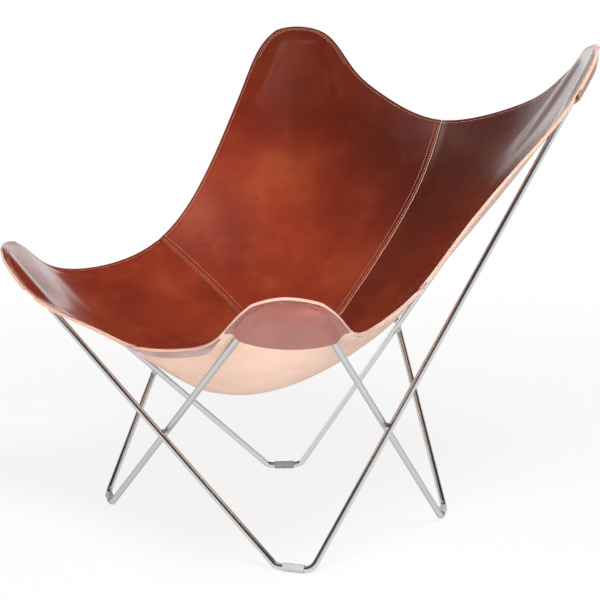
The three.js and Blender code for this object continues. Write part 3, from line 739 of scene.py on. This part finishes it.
def sling_point(across, along):
    across, along = np.broadcast_arrays(np.asarray(across, float), np.asarray(along, float))
    point = blend_point(across, along)
    for name, corner in corners.items():
        here = (along < 0) == name.startswith("front")
        here &= (across < 0) == name.endswith("left")
        if not here.any():
            continue
        x, depth, _ = ((point[here] - corner["middle"]) @ corner["axes"].T).T
        spread = np.where(x < 0, *corner["spreads"])
        beyond_leg = np.abs(x) - corner_run / 2 - np.maximum(depth, 0) * spread
        overhang = np.maximum(-depth, beyond_leg / np.hypot(1, spread))
        fade = 1 - smooth((depth - droop_depth) / droop_fade)
        droop = lobes[name]["droop"] * fade * smooth((overhang - droop_start) / droop_width)
        lowered = point[here] - droop[:, None] * corner["axes"][2]
        point[here] = over_rod(name, lowered, sheet_seat, 1, rod_drape_radius)
    return point


def slopes(across, along):
    a = np.clip(across, -slope_limit, slope_limit)
    b = np.clip(along, -slope_limit, slope_limit)
    du = sling_point(a + slope_probe, b) - sling_point(a - slope_probe, b)
    dv = sling_point(a, b + slope_probe) - sling_point(a, b - slope_probe)
    return du / (2 * slope_probe), dv / (2 * slope_probe)


# Leather
# Vegetable-tanned hide: a glossy cognac grain side with fine pores and faint scuffs, a pale
# suede-like flesh side, and raw cut edges of a light tan.
grain_tones = [(0.19, 0.019, 0.0066, 1), (0.247, 0.028, 0.0088, 1), (0.316, 0.047, 0.0143, 1)]
# The grain side of pockets and strips is the same cognac leather, painted paler and pinker: a
# painted sheen.
outer_tones_with_painted_sheen = [(0.29, 0.066, 0.046, 1), (0.35, 0.09, 0.064, 1), (0.41, 0.115, 0.083, 1)]
flesh_tones = [(0.86, 0.58, 0.45, 1), (0.93, 0.66, 0.53, 1)]
cut_tones = [(0.69, 0.38, 0.295, 1), (0.78, 0.47, 0.38, 1)]
tone_places = (0.32, 0.68)
mottle_scale = 7
mottle_detail = 5
shine_scale = 21
shine_detail = 6
scuff_scale = 26
scuff_detail = 3
scuff_range = (0.5, 0.85)
scuff_share = 0.12
scuff_tone = (0.55, 0.16, 0.08, 1)
pore_scale = 620
pore_depth = 0.00022
crease_scale = 34
crease_stretch = (1, 1, 0.22)
crease_depth = 0.0019
cloud_scale = 26
cloud_detail = 6
fuzz_scale = 1100
fuzz_detail = 3
fuzz_depth = 0.0005
grain_roughness = (0.27, 0.38)
grain_gloss = 0.15
flesh_roughness = 0.92
flesh_gloss = 0.2
flesh_sheen = 0.15
coat_index = 1.7
coat_roughness = 0.22
seam_row_places = (0.0035, 0.0125)
rim_row_places = (0.0048, 0.009)
groove_width = 0.0016
groove_depth = 0.0004
# groove_shade is painted shade in the stitch grooves. The burnished rim and the painted groove
# shade share one dark tone.
groove_shade = 0.5
burnish_width = 0.0045
burnish_share = 0.6
burnish_and_groove_shade_tone = (0.12, 0.012, 0.007, 1)


def attribute(tree, name, output="Fac"):
    return new_node(tree, "ShaderNodeAttribute", attribute_name=name).outputs[output]


def hide_place(tree):
    given = {0: coordinates(tree), 1: attribute(tree, "hide", "Vector")}
    return new_node(tree, "ShaderNodeVectorMath", given, operation="ADD")


def new_range(tree, source, low, high, to_low, to_high):
    given = {
        "Value": source, "From Min": low, "From Max": high, "To Min": to_low, "To Max": to_high,
    }
    return new_node(tree, "ShaderNodeMapRange", given, interpolation_type="SMOOTHSTEP")


def stitch_grooves(tree, lines):
    grooves = 0
    for distance, places in lines:
        for place in places:
            apart = new_math(tree, "ABSOLUTE", new_math(tree, "SUBTRACT", distance, place))
            groove = new_range(tree, apart, 0, groove_width, 1, 0)
            grooves = new_math(tree, "MAXIMUM", grooves, groove)
    return grooves


def tones_at(tree, source, tones):
    return new_ramp(tree, source, np.linspace(*tone_places, len(tones)), tones)


def grain_paint(name, tones):
    paint, tree, shader = new_paint(name)
    place = hide_place(tree)
    scuffs = new_noise(tree, place, scuff_scale, scuff_detail)
    scuffs = new_range(tree, scuffs, *scuff_range, 0, scuff_share)
    mottle = tones_at(tree, new_noise(tree, place, mottle_scale, mottle_detail), tones)
    colour = new_tint(tree, scuffs, mottle, scuff_tone)
    # The leather's tone is multiplied by painted shade: darker right quarters and a darker upper
    # back.
    colour = multiplied(tree, colour, attribute(tree, "leather_tone_and_painted_shade", "Color"))
    edge = attribute(tree, "from_edge")
    seam = attribute(tree, "from_seam")
    burnish = new_range(tree, edge, 0, burnish_width, burnish_share, 0)
    colour = new_tint(tree, burnish, colour, burnish_and_groove_shade_tone)
    grooves = stitch_grooves(tree, ((edge, rim_row_places), (seam, seam_row_places)))
    # Along each stitch row the colour is drawn towards the dark tone: painted shade in the pressed
    # groove.
    shade = new_math(tree, "MULTIPLY", grooves, groove_shade)
    shine = new_noise(tree, place, shine_scale, shine_detail)
    stretched = new_node(tree, "ShaderNodeMapping", {"Vector": place, "Scale": crease_stretch})
    creases = new_bump(tree, new_noise(tree, stretched, crease_scale), crease_depth)
    pores = new_node(tree, "ShaderNodeTexVoronoi", {
        "Vector": place, "Scale": pore_scale,
    }, feature="DISTANCE_TO_EDGE")
    pored = new_bump(tree, pores, pore_depth, creases)
    feed(tree, shader, {
        "Base Color": new_tint(tree, shade, colour, burnish_and_groove_shade_tone),
        "Roughness": new_range(tree, shine, *tone_places, *grain_roughness),
        "Normal": new_bump(tree, grooves, -groove_depth, pored),
        "Specular IOR Level": grain_gloss,
        "Coat Weight": 1,
        "Coat IOR": coat_index,
        "Coat Roughness": coat_roughness,
    })
    return paint


def raw_paint(name, tones):
    paint, tree, shader = new_paint(name)
    place = hide_place(tree)
    feed(tree, shader, {
        "Base Color": tones_at(tree, new_noise(tree, place, cloud_scale, cloud_detail), tones),
        "Roughness": flesh_roughness,
        "Normal": new_bump(tree, new_noise(tree, place, fuzz_scale, fuzz_detail), fuzz_depth),
        "Specular IOR Level": flesh_gloss,
        "Sheen Weight": flesh_sheen,
    })
    return paint


grain_side = grain_paint("cognac_grain_side", grain_tones)
outer_side = grain_paint("cognac_outer_side_painted_sheen", outer_tones_with_painted_sheen)
flesh_side = raw_paint("pale_flesh_side", flesh_tones)
cut_edge = raw_paint("raw_cut_edge", cut_tones)

# Sling panels
# Four quarters cut from 3.5 mm hide meet under the seat in a cross of lap seams: the left
# back quarter lies on top, the quarter diagonally opposite at the bottom. Both layers are
# skived thin along a seam, and the lower one is pressed down by a layer.
panel_layers = {
    "back_left": {"across": -1, "along": 1, "under_across": False, "under_along": False},
    "back_right": {"across": 1, "along": 1, "under_across": True, "under_along": False},
    "front_left": {"across": -1, "along": -1, "under_across": False, "under_along": True},
    "front_right": {"across": 1, "along": -1, "under_across": True, "under_along": True},
}
seam_thickness = 0.002
lap_width = 0.016
skive_run = 0.014
joggle_length = 0.018
lap_growth = 0.025
cell_size = 0.0055
panel_width = 0.45
panel_length = 0.52
lap_cells = 4
rim_bevel = 0.0007
rim_steps = 3
crisp_angle = math.radians(20)
hide_step = 3.7
# The right quarters are painted darker, partly a darker hide and partly painted shade where they
# face away from the light. The back is painted darker towards its top: painted shade.
quarter_tones_and_painted_shade = {"back_left": 1, "back_right": 0.6, "front_left": 0.95, "front_right": 0.6}
painted_shade_start = 0.36
painted_shade_run = 0.42
painted_shade_depth = 0.55

layer_drop = seam_thickness + clearance


def seam_shares(layer, across, along, from_length, from_cross):
    share = np.zeros_like(across)
    thin = np.zeros_like(across)
    for way, here, from_seam, from_other in (
        ("across", across, from_length, from_cross),
        ("along", along, from_cross, from_length),
    ):
        if layer[f"under_{way}"]:
            beyond = np.where(here * layer[way] <= 0, 0, from_seam)
            step = smooth(1 - beyond / joggle_length)
            share = np.maximum(share, step * smooth(from_other / joggle_length))
            thin = np.maximum(thin, step)
        else:
            thin = np.maximum(thin, 1 - smooth((from_seam - lap_width) / skive_run))
    return share, thin


def seam_distance(layer, from_length, from_cross):
    far = np.full_like(from_length, panel_length)
    over_length = far if layer["under_across"] else from_length
    over_cross = far if layer["under_along"] else from_cross
    return np.minimum(over_length, over_cross)


def seam_reach(under, distance):
    if not under:
        return np.full_like(distance, -clearance / 2)
    growth = smooth((distance - joggle_length) / lap_growth)
    return -clearance / 2 + (lap_width + clearance / 2) * growth


def stations(under, length):
    inside = np.linspace(0, 1, 1 + round(length / cell_size))
    if not under:
        beyond = np.zeros_like(inside)
        beyond[0] = 1
        return beyond, inside
    beyond = np.linspace(1, 0, lap_cells + 1)
    return np.concatenate([beyond[:-1], 0 * inside]), np.concatenate([0 * beyond[:-1], inside])


def panel_grid(name):
    layer = panel_layers[name]
    beyond_a, inside_a = stations(layer["under_across"], panel_width)
    beyond_b, inside_b = stations(layer["under_along"], panel_length)
    a, b = np.meshgrid(inside_a * layer["across"], inside_b * layer["along"], indexing="ij")
    du, dv = slopes(a, b)
    reach_a = seam_reach(layer["under_across"], np.abs(b) * size_of(dv)) / size_of(du)
    reach_b = seam_reach(layer["under_along"], np.abs(a) * size_of(du)) / size_of(dv)
    a = a - beyond_a[:, None] * reach_a * layer["across"]
    b = b - beyond_b[None] * reach_b * layer["along"]
    return laid_sheet(name, a, b)


def laid_sheet(name, a, b):
    layer = panel_layers[name]
    du, dv = slopes(a, b)
    normal = unit(np.cross(du, dv))
    from_length = np.abs(a) * size_of(du)
    from_cross = np.abs(b) * size_of(dv)
    share, thin = seam_shares(layer, a, b, from_length, from_cross)
    thickness = leather_thickness + (seam_thickness - leather_thickness) * thin
    top = leather_thickness / 2 - share * layer_drop
    return {
        "point": sling_point(a, b) + normal * (top - thickness / 2)[..., None],
        "normal": normal,
        "thickness": thickness,
        "from_edge": np.minimum((1 - np.abs(a)) * size_of(du), (1 - np.abs(b)) * size_of(dv)),
        "from_seam": seam_distance(layer, from_length, from_cross),
        # Hide tone times painted shade, darker towards the top of the back.
        "leather_tone_and_painted_shade": quarter_tones_and_painted_shade[name] * (1 - painted_shade_depth * smooth((b - painted_shade_start) / painted_shade_run)),
    }


def cell_crosses(point):
    return np.cross(point[1:, 1:] - point[:-1, :-1], point[:-1, 1:] - point[1:, :-1])


def grid_normals(point):
    faces = cell_crosses(point)
    normals = np.zeros_like(point)
    for rows in (slice(None, -1), slice(1, None)):
        for columns in (slice(None, -1), slice(1, None)):
            normals[rows, columns] += faces
    return unit(normals)


def facing(grid, direction):
    normal = grid_normals(grid["point"])
    if (normal @ direction).sum() > 0:
        return grid, normal
    return {key: value[::-1] for key, value in grid.items()}, -normal[::-1]


def grid_quads(rows, columns):
    i, j = np.meshgrid(np.arange(rows - 1), np.arange(columns - 1), indexing="ij")
    a = (i * columns + j).ravel()
    return np.stack([a, a + columns, a + columns + 1, a + 1], axis=1)


def add_attribute(piece, key, values):
    kind, field = ("FLOAT", "value") if values.ndim == 1 else ("FLOAT_VECTOR", "vector")
    layer = piece.data.attributes.new(key, kind, "POINT")
    layer.data.foreach_set(field, values.astype(np.float32).ravel())


def leather_sheet(name, grid, direction, paints, number):
    grid, normal = facing(grid, direction)
    rows, columns = grid["point"].shape[:2]
    index = np.arange(rows * columns).reshape(rows, columns)
    rim = np.concatenate([index[0, :-1], index[:-1, -1], index[-1, :0:-1], index[:0:-1, 0]])
    point = grid["point"].reshape(-1, 3)
    normal = normal.reshape(-1, 3)
    half = grid["thickness"].reshape(-1, 1) / 2
    travel = unit(np.roll(point[rim], -1, axis=0) - np.roll(point[rim], 1, axis=0))
    outward = unit(np.cross(travel, normal[rim]))
    rings = []
    for side, turns in ((1, np.linspace(0, 1, rim_steps)), (-1, np.linspace(1, 0, rim_steps))):
        for turn in turns * math.pi / 2:
            lift = half[rim] - rim_bevel + rim_bevel * math.cos(turn)
            aside = rim_bevel * (math.sin(turn) - 1)
            rings.append(point[rim] + outward * aside + normal[rim] * side * lift)
    top = point + normal * half
    bottom = point - normal * half
    top[rim] = rings[0]
    bottom[rim] = rings[-1]
    points = np.concatenate([top, bottom, *rings[1:-1]])
    count = rows * columns
    quads = grid_quads(rows, columns)
    loops = [rim]
    for k in range(len(rings) - 2):
        loops.append(2 * count + k * len(rim) + np.arange(len(rim)))
    loops.append(count + rim)
    bands = [
        np.stack([first, np.roll(first, -1), np.roll(second, -1), second], axis=1)
        for first, second in zip(loops[:-1], loops[1:])
    ]
    faces = np.concatenate([quads, quads[:, ::-1] + count, *bands])
    burnished = (rim_steps - 1) * len(rim)
    raw = len(faces) - 2 * len(quads) - burnished
    paint_index = np.repeat([0, 1, 0, 2], [len(quads), len(quads), burnished, raw])
    piece = mesh_piece(name, points, faces, paints, paint_index)
    piece.data.set_sharp_from_angle(angle=crisp_angle)
    source = np.concatenate([index.ravel(), index.ravel(), *[rim] * (len(rings) - 2)])
    for key, usual in (("from_edge", panel_length), ("from_seam", panel_length), ("leather_tone_and_painted_shade", 1)):
        values = grid[key] if key in grid else np.full(index.shape, usual)
        add_attribute(piece, key, values.ravel()[source])
    hide = np.array([number, -number, 0]) * hide_step
    add_attribute(piece, "hide", np.tile(hide, (len(source), 1)))
    return piece


def declare_sheet(piece, grid, node):
    point = grid["point"]
    across = size_of(np.diff(point, axis=0)).sum(axis=0).max()
    along = size_of(np.diff(point, axis=1)).sum(axis=1).max()
    area = float(size_of(cell_crosses(point)).sum() / 2)
    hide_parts(node)
    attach(piece, "root")
    sheets.append(piece)


sheets = []
panel_grids = {}
panel_paints = [grain_side, flesh_side, cut_edge]
upwards = np.array([0, 0, 1])
for number, name in enumerate(panel_layers):
    grid = panel_grid(name)
    panel_grids[name] = grid
    panel = leather_sheet(f"panel_{name}", grid, upwards, panel_paints, number)
    declare_sheet(panel, grid, f"sling_panel_{name}")

# Corner pockets
# A piece of thinner hide is sewn under each lobe along its rim, grain side out. It slopes
# down round the bend of the rod and ends in an open, slightly curved mouth.
pocket_thickness = 0.0025
pocket_shoulder = 0.056
pocket_flank = 0.096
pocket_inset = 0.0004
pocket_bulge = 0.006
pocket_mouth_depth = 0.0925
pocket_mouth_power = 2.3
pocket_flange = 0.0108
pocket_slope = 0.019
pocket_drape_radius = 0.009
pocket_rows = 30
pocket_columns = 44
rim_samples = 500
rim_reach_share = 0.3
steepest_share = 0.5
belly_start = 0.5
cast_reach = 0.06

rod_under = rod_seat + pocket_thickness / 2
pocket_reach = pocket_shoulder + pocket_flank


def rim_places(name):
    layer = panel_layers[name]
    corner = corners[name]
    share = np.linspace(1, rim_reach_share, rim_samples)
    ends = sling_point(share * layer["across"], layer["along"])
    sides = sling_point(layer["across"], share * layer["along"])
    distance = np.concatenate([-running_length(ends)[::-1], running_length(sides)[1:]])
    places = np.concatenate([ends[::-1], sides[1:]])
    local = (places - corner["middle"]) @ corner["axes"].T
    return distance, local


def middle_tree(name):
    point = facing(panel_grids[name], upwards)[0]["point"]
    quads = grid_quads(*point.shape[:2])
    return BVHTree.FromPolygons(point.reshape(-1, 3).tolist(), quads.tolist())


def pocket_grid(name):
    middle = corners[name]["middle"]
    axes = corners[name]["axes"]
    distance, local = rim_places(name)
    tree = middle_tree(name)

    def rim_at(signed):
        place = np.stack([np.interp(signed, distance, local[:, k]) for k in range(3)], axis=-1)
        inwards = np.stack([-place[..., 0], pocket_mouth_depth / 2 - place[..., 1]], axis=-1)
        place[..., :2] += unit(inwards) * pocket_inset
        return place

    w = np.linspace(-1, 1, pocket_columns)[None, :, None]
    v = np.linspace(0, 1, pocket_rows)[:, None, None]
    across = (w + 1) / 2
    upper = rim_at(w[..., 0] * pocket_shoulder)
    left = rim_at(-pocket_shoulder - v[..., 0] * pocket_flank)
    right = rim_at(pocket_shoulder + v[..., 0] * pocket_flank)
    mouth = left[-1:] + (right[-1:] - left[-1:]) * across
    fullness = 1 - np.abs(w[..., 0]) ** pocket_mouth_power
    mouth[..., 1] += (pocket_mouth_depth - mouth[..., 1]) * fullness
    sides = left + (right - left) * across
    ends = upper + (mouth - upper) * v
    first = left[:1] + (right[:1] - left[:1]) * across
    last = left[-1:] + (right[-1:] - left[-1:]) * across
    flat = sides + ends - (first + (last - first) * v)
    around = rim_at(np.linspace(-pocket_reach, pocket_reach, rim_samples))
    from_rim = size_of(flat[..., None, :2] - around[:, :2]).min(axis=-1)
    gap = leather_thickness / 2 + clearance + pocket_thickness / 2
    flange = np.empty(flat.shape[:2])
    for index in np.ndindex(*flat.shape[:2]):
        x, y, z = flat[index]
        start = middle + np.array([x, y, -cast_reach]) @ axes
        hit, normal, _, _ = tree.ray_cast(Vector(start), Vector(axes[2]), 2 * cast_reach)
        height = z if hit is None else (np.array(hit) - middle) @ axes[2]
        steep = 1 if hit is None else max(abs(np.array(normal) @ axes[2]), steepest_share)
        flange[index] = height - gap / steep
    bulge = pocket_bulge * (1 - w[..., 0] ** 2) * smooth(v[..., 0] / belly_start)
    belly = -rod_under - bulge
    share = smooth((from_rim - pocket_flange) / pocket_slope)
    flat[..., 2] = flange + (np.minimum(belly, flange) - flange) * share
    point = middle + flat @ axes
    point = over_rod(name, point, rod_under, -1, pocket_drape_radius)
    return {
        "point": point,
        "thickness": np.full(flat.shape[:2], pocket_thickness),
        "from_edge": from_rim,
    }


# Pockets and strips show their grain side out, with the painted sheen.
under_paints = [flesh_side, outer_side, cut_edge]
for number, name in enumerate(panel_layers):
    grid = pocket_grid(name)
    upright = corners[name]["axes"][2]
    pocket = leather_sheet(f"pocket_{name}", grid, upright, under_paints, number)
    declare_sheet(
        pocket, grid, f"corner_pocket_{name}"
    )

# Edge strips
# A band of thin hide, grain side out, is stitched under each free edge from beside the pocket
# to beside the seam. It stiffens the edge, and its end by the pocket is cut to a taper.
strip_thickness = 0.0025
strip_width = 0.025
strip_setback = 0.026
strip_taper = 0.11
strip_end_share = 0.14
strip_columns = 6


def edge_line(name, edge, share):
    layer = panel_layers[name]
    if edge == "side":
        return layer["across"] + 0 * share, share * layer["along"]
    return share * layer["across"], layer["along"] + 0 * share


def strip_grid(name, edge):
    layer = panel_layers[name]
    share = np.linspace(0, 1, rim_samples)
    length = running_length(sling_point(*edge_line(name, edge, share)))
    under = layer["under_along"] if edge == "side" else layer["under_across"]
    start = clearance if under else joggle_length + clearance
    end = length[-1] - pocket_reach - strip_setback
    along = np.linspace(start, end, round((end - start) / cell_size))
    a, b = edge_line(name, edge, np.interp(along, length, share))
    du, dv = slopes(a, b)
    tapered = strip_end_share + (1 - strip_end_share) * smooth((end - along) / strip_taper)
    inwards = np.linspace(0, 1, strip_columns)[:, None] * strip_width * tapered
    if edge == "side":
        a, b = a - inwards * layer["across"] / size_of(du), b + 0 * inwards
    else:
        a, b = a + 0 * inwards, b - inwards * layer["along"] / size_of(dv)
    sheet = laid_sheet(name, a, b)
    low = sheet["thickness"] / 2 + clearance + strip_thickness / 2
    return {
        "point": sheet["point"] - sheet["normal"] * low[..., None],
        "thickness": np.full(a.shape, strip_thickness),
        "from_edge": sheet["from_edge"],
    }


for number, name in enumerate(panel_layers):
    for edge in ("side", "end"):
        label = "side" if edge == "side" else name.split("_")[0]
        grid = strip_grid(name, edge)
        strip = leather_sheet(f"strip_{name}_{label}", grid, upwards, under_paints, number + 1)
        declare_sheet(
            strip, grid, f"edge_strip_{name}_{label}"
        )

# Threads
# Thick waxed thread in a lockstitch, seen on both faces of the leather: two rows along each
# seam, one along each free edge, and a second row round each pocket.
thread_radius = 0.00044
stitch_pitch = 0.0055
stitch_length = 0.0042
stitch_rise = 0.00012
stitch_end_sink = 0.0008
stitch_sides = 6
stitch_bends = 7
stitch_turn = math.radians(5)
stitch_spread = 0.06
stitch_seed = 4
row_end_gap = 0.004
row_samples = 900
pocket_row_gap = 0.008
probe_reach = 0.04
facing_limit = 0.5
thread_tones = [(0.74, 0.36, 0.25, 1), (0.93, 0.58, 0.44, 1)]
thread_twist_scale = 1500
thread_roughness = 0.55

waxed_thread, tree, shader = new_paint("waxed_thread")
ply = new_node(tree, "ShaderNodeTexWave", {
    "Vector": coordinates(tree), "Scale": thread_twist_scale,
}, bands_direction="DIAGONAL").outputs["Fac"]
feed(tree, shader, {
    "Base Color": tones_at(tree, ply, thread_tones),
    "Roughness": thread_roughness,
    "Normal": new_bump(tree, ply, thread_radius),
})


def one_stitch():
    share = np.linspace(-1, 1, stitch_bends + 1)
    bow = 1 - share**2
    height = (stitch_rise + stitch_end_sink) * np.sqrt(bow) - stitch_end_sink
    line = np.stack([share * stitch_length / 2, 0 * share, height], axis=1)
    tangent = unit(np.gradient(line, axis=0))
    upright = np.stack([-tangent[:, 2], 0 * share, tangent[:, 0]], axis=1)
    ring = spokes(stitch_sides, upright[:, None], np.array([0, 1, 0]))
    points = (line[:, None] + thread_radius * ring).reshape(-1, 3)
    return mesh_piece("one_stitch", points, capped_faces(len(line), stitch_sides), [])


def leather_tree():
    points = []
    faces = []
    for piece in sheets:
        start = len(points)
        points.extend(vertex.co.copy() for vertex in piece.data.vertices)
        faces.extend([start + k for k in face.vertices] for face in piece.data.polygons)
    return BVHTree.FromPolygons(points, faces)


def stitch_row(tree, places, normals, side):
    line = []
    for place, normal in zip(places, normals * side):
        start = Vector(place + normal * probe_reach)
        hit, found, _, _ = tree.ray_cast(start, Vector(-normal), 2 * probe_reach)
        if hit is not None and found @ Vector(normal) > facing_limit:
            line.append([*hit, *found])
    line = np.array(line)
    length = running_length(line[:, :3])
    count = int((length[-1] - 2 * row_end_gap) / stitch_pitch)
    marks = row_end_gap + stitch_pitch * np.arange(count)
    row = np.stack([np.interp(marks, length, line[:, k]) for k in range(6)], axis=1)
    tangent = unit(np.gradient(row[:, :3], axis=0))
    normal = unit(row[:, 3:])
    return np.concatenate([row[:, :3], tangent, normal], axis=1)


def seam_line(along_length, offset):
    share = np.linspace(-1, 1, row_samples)
    a, b = (0 * share, share) if along_length else (share, 0 * share)
    du, dv = slopes(a, b)
    if along_length:
        a = a - offset / size_of(du)
    else:
        b = b + offset / size_of(dv)
    return sling_point(a, b), unit(np.cross(*slopes(a, b)))


def rim_line(name, offset, reach=None):
    share = np.linspace(0, 1, row_samples)
    end_line = edge_line(name, "end", share)
    side_line = edge_line(name, "side", share[::-1][1:])
    a, b = (np.concatenate(pair) for pair in zip(end_line, side_line))
    rim = sling_point(a, b)
    normal = unit(np.cross(*slopes(a, b)))
    tangent = unit(np.gradient(rim, axis=0))
    inwards = unit(np.cross(normal, tangent))
    inwards *= np.sign(inwards @ (sling_point(0, 0) - rim[row_samples]))[:, None]
    if reach:
        length = running_length(rim)
        here = np.abs(length - length[row_samples - 1]) < reach
        return (rim + inwards * offset)[here], normal[here]
    return rim + inwards * offset, normal


def stitch_group():
    group = bpy.data.node_groups.new("lockstitch", "GeometryNodeTree")
    sockets = {}
    for name, kind in (
        ("Carrier", "NodeSocketGeometry"), ("Stitch", "NodeSocketObject"),
        ("Thread", "NodeSocketMaterial"), ("Seed", "NodeSocketInt"),
        ("Turn", "NodeSocketFloat"), ("Spread", "NodeSocketFloat"),
    ):
        socket = group.interface.new_socket(name, in_out="INPUT", socket_type=kind)
        sockets[name] = socket.identifier
    group.interface.new_socket("Threads", in_out="OUTPUT", socket_type="NodeSocketGeometry")
    given = new_node(group, "NodeGroupInput").outputs
    tangent, normal = (
        new_node(
            group, "GeometryNodeInputNamedAttribute", {"Name": name}, data_type="FLOAT_VECTOR"
        ).outputs["Attribute"]
        for name in ("tangent", "surface_normal")
    )
    aim = new_node(group, "FunctionNodeAxesToRotation", {
        "Primary Axis": tangent, "Secondary Axis": normal,
    }, primary_axis="X", secondary_axis="Z")
    least = new_math(group, "MULTIPLY", given["Turn"], -1)
    wobble = new_node(group, "FunctionNodeRandomValue", {
        "Min": new_node(group, "ShaderNodeCombineXYZ", {"Z": least}),
        "Max": new_node(group, "ShaderNodeCombineXYZ", {"Z": given["Turn"]}),
        "Seed": given["Seed"],
    }, data_type="FLOAT_VECTOR")
    size = new_node(group, "FunctionNodeRandomValue", {
        2: new_math(group, "SUBTRACT", 1, given["Spread"]),
        3: new_math(group, "ADD", 1, given["Spread"]),
        "Seed": given["Seed"],
    }, data_type="FLOAT")
    turned = new_node(group, "FunctionNodeRotateRotation", {
        "Rotation": aim,
        "Rotate By": new_node(group, "FunctionNodeEulerToRotation", {0: wobble.outputs["Value"]}),
    }, rotation_space="LOCAL")
    stitches = new_node(group, "GeometryNodeInstanceOnPoints", {
        "Points": given["Carrier"],
        "Instance": new_node(group, "GeometryNodeObjectInfo", {
            "Object": given["Stitch"],
        }).outputs["Geometry"],
        "Rotation": turned,
        "Scale": size.outputs[1],
    })
    painted = new_node(group, "GeometryNodeSetMaterial", {
        "Geometry": new_node(group, "GeometryNodeRealizeInstances", {0: stitches}),
        "Material": given["Thread"],
    })
    new_node(group, "NodeGroupOutput", {0: painted})
    return group, sockets


def sewn(name, rows, seed):
    row = np.concatenate(rows)
    carrier = mesh_piece(f"{name}_carrier", row[:, :3], [], [])
    add_attribute(carrier, "tangent", row[:, 3:6])
    add_attribute(carrier, "surface_normal", row[:, 6:])
    modifier = carrier.modifiers.new("stitches", "NODES")
    modifier.node_group = lockstitch
    given = {
        "Stitch": template, "Thread": waxed_thread, "Seed": seed,
        "Turn": stitch_turn, "Spread": stitch_spread,
    }
    for key, value in given.items():
        modifier[stitch_sockets[key]] = value
    carrier.update_tag()
    graph = bpy.context.evaluated_depsgraph_get()
    mesh = bpy.data.meshes.new_from_object(carrier.evaluated_get(graph))
    mesh.name = name
    thread = bpy.data.objects.new(name, mesh)
    bpy.context.scene.collection.objects.link(thread)
    bpy.data.objects.remove(carrier)
    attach(thread, "root")


leather = leather_tree()
template = one_stitch()
lockstitch, stitch_sockets = stitch_group()
seam_rows = []
rim_rows = []
inner_rows = []
for side in (1, -1):
    for offset in seam_row_places:
        for along_length in (True, False):
            seam_rows.append(stitch_row(leather, *seam_line(along_length, offset), side))
    for name in panel_layers:
        rim_rows.append(stitch_row(leather, *rim_line(name, rim_row_places[0]), side))
        inner = rim_line(name, rim_row_places[1], pocket_reach - pocket_row_gap)
        inner_rows.append(stitch_row(leather, *inner, side))
sewn("thread_seams", seam_rows, stitch_seed)
sewn("thread_edges", rim_rows, stitch_seed + 1)
sewn("thread_pockets", inner_rows, stitch_seed + 2)
bpy.data.objects.remove(template)
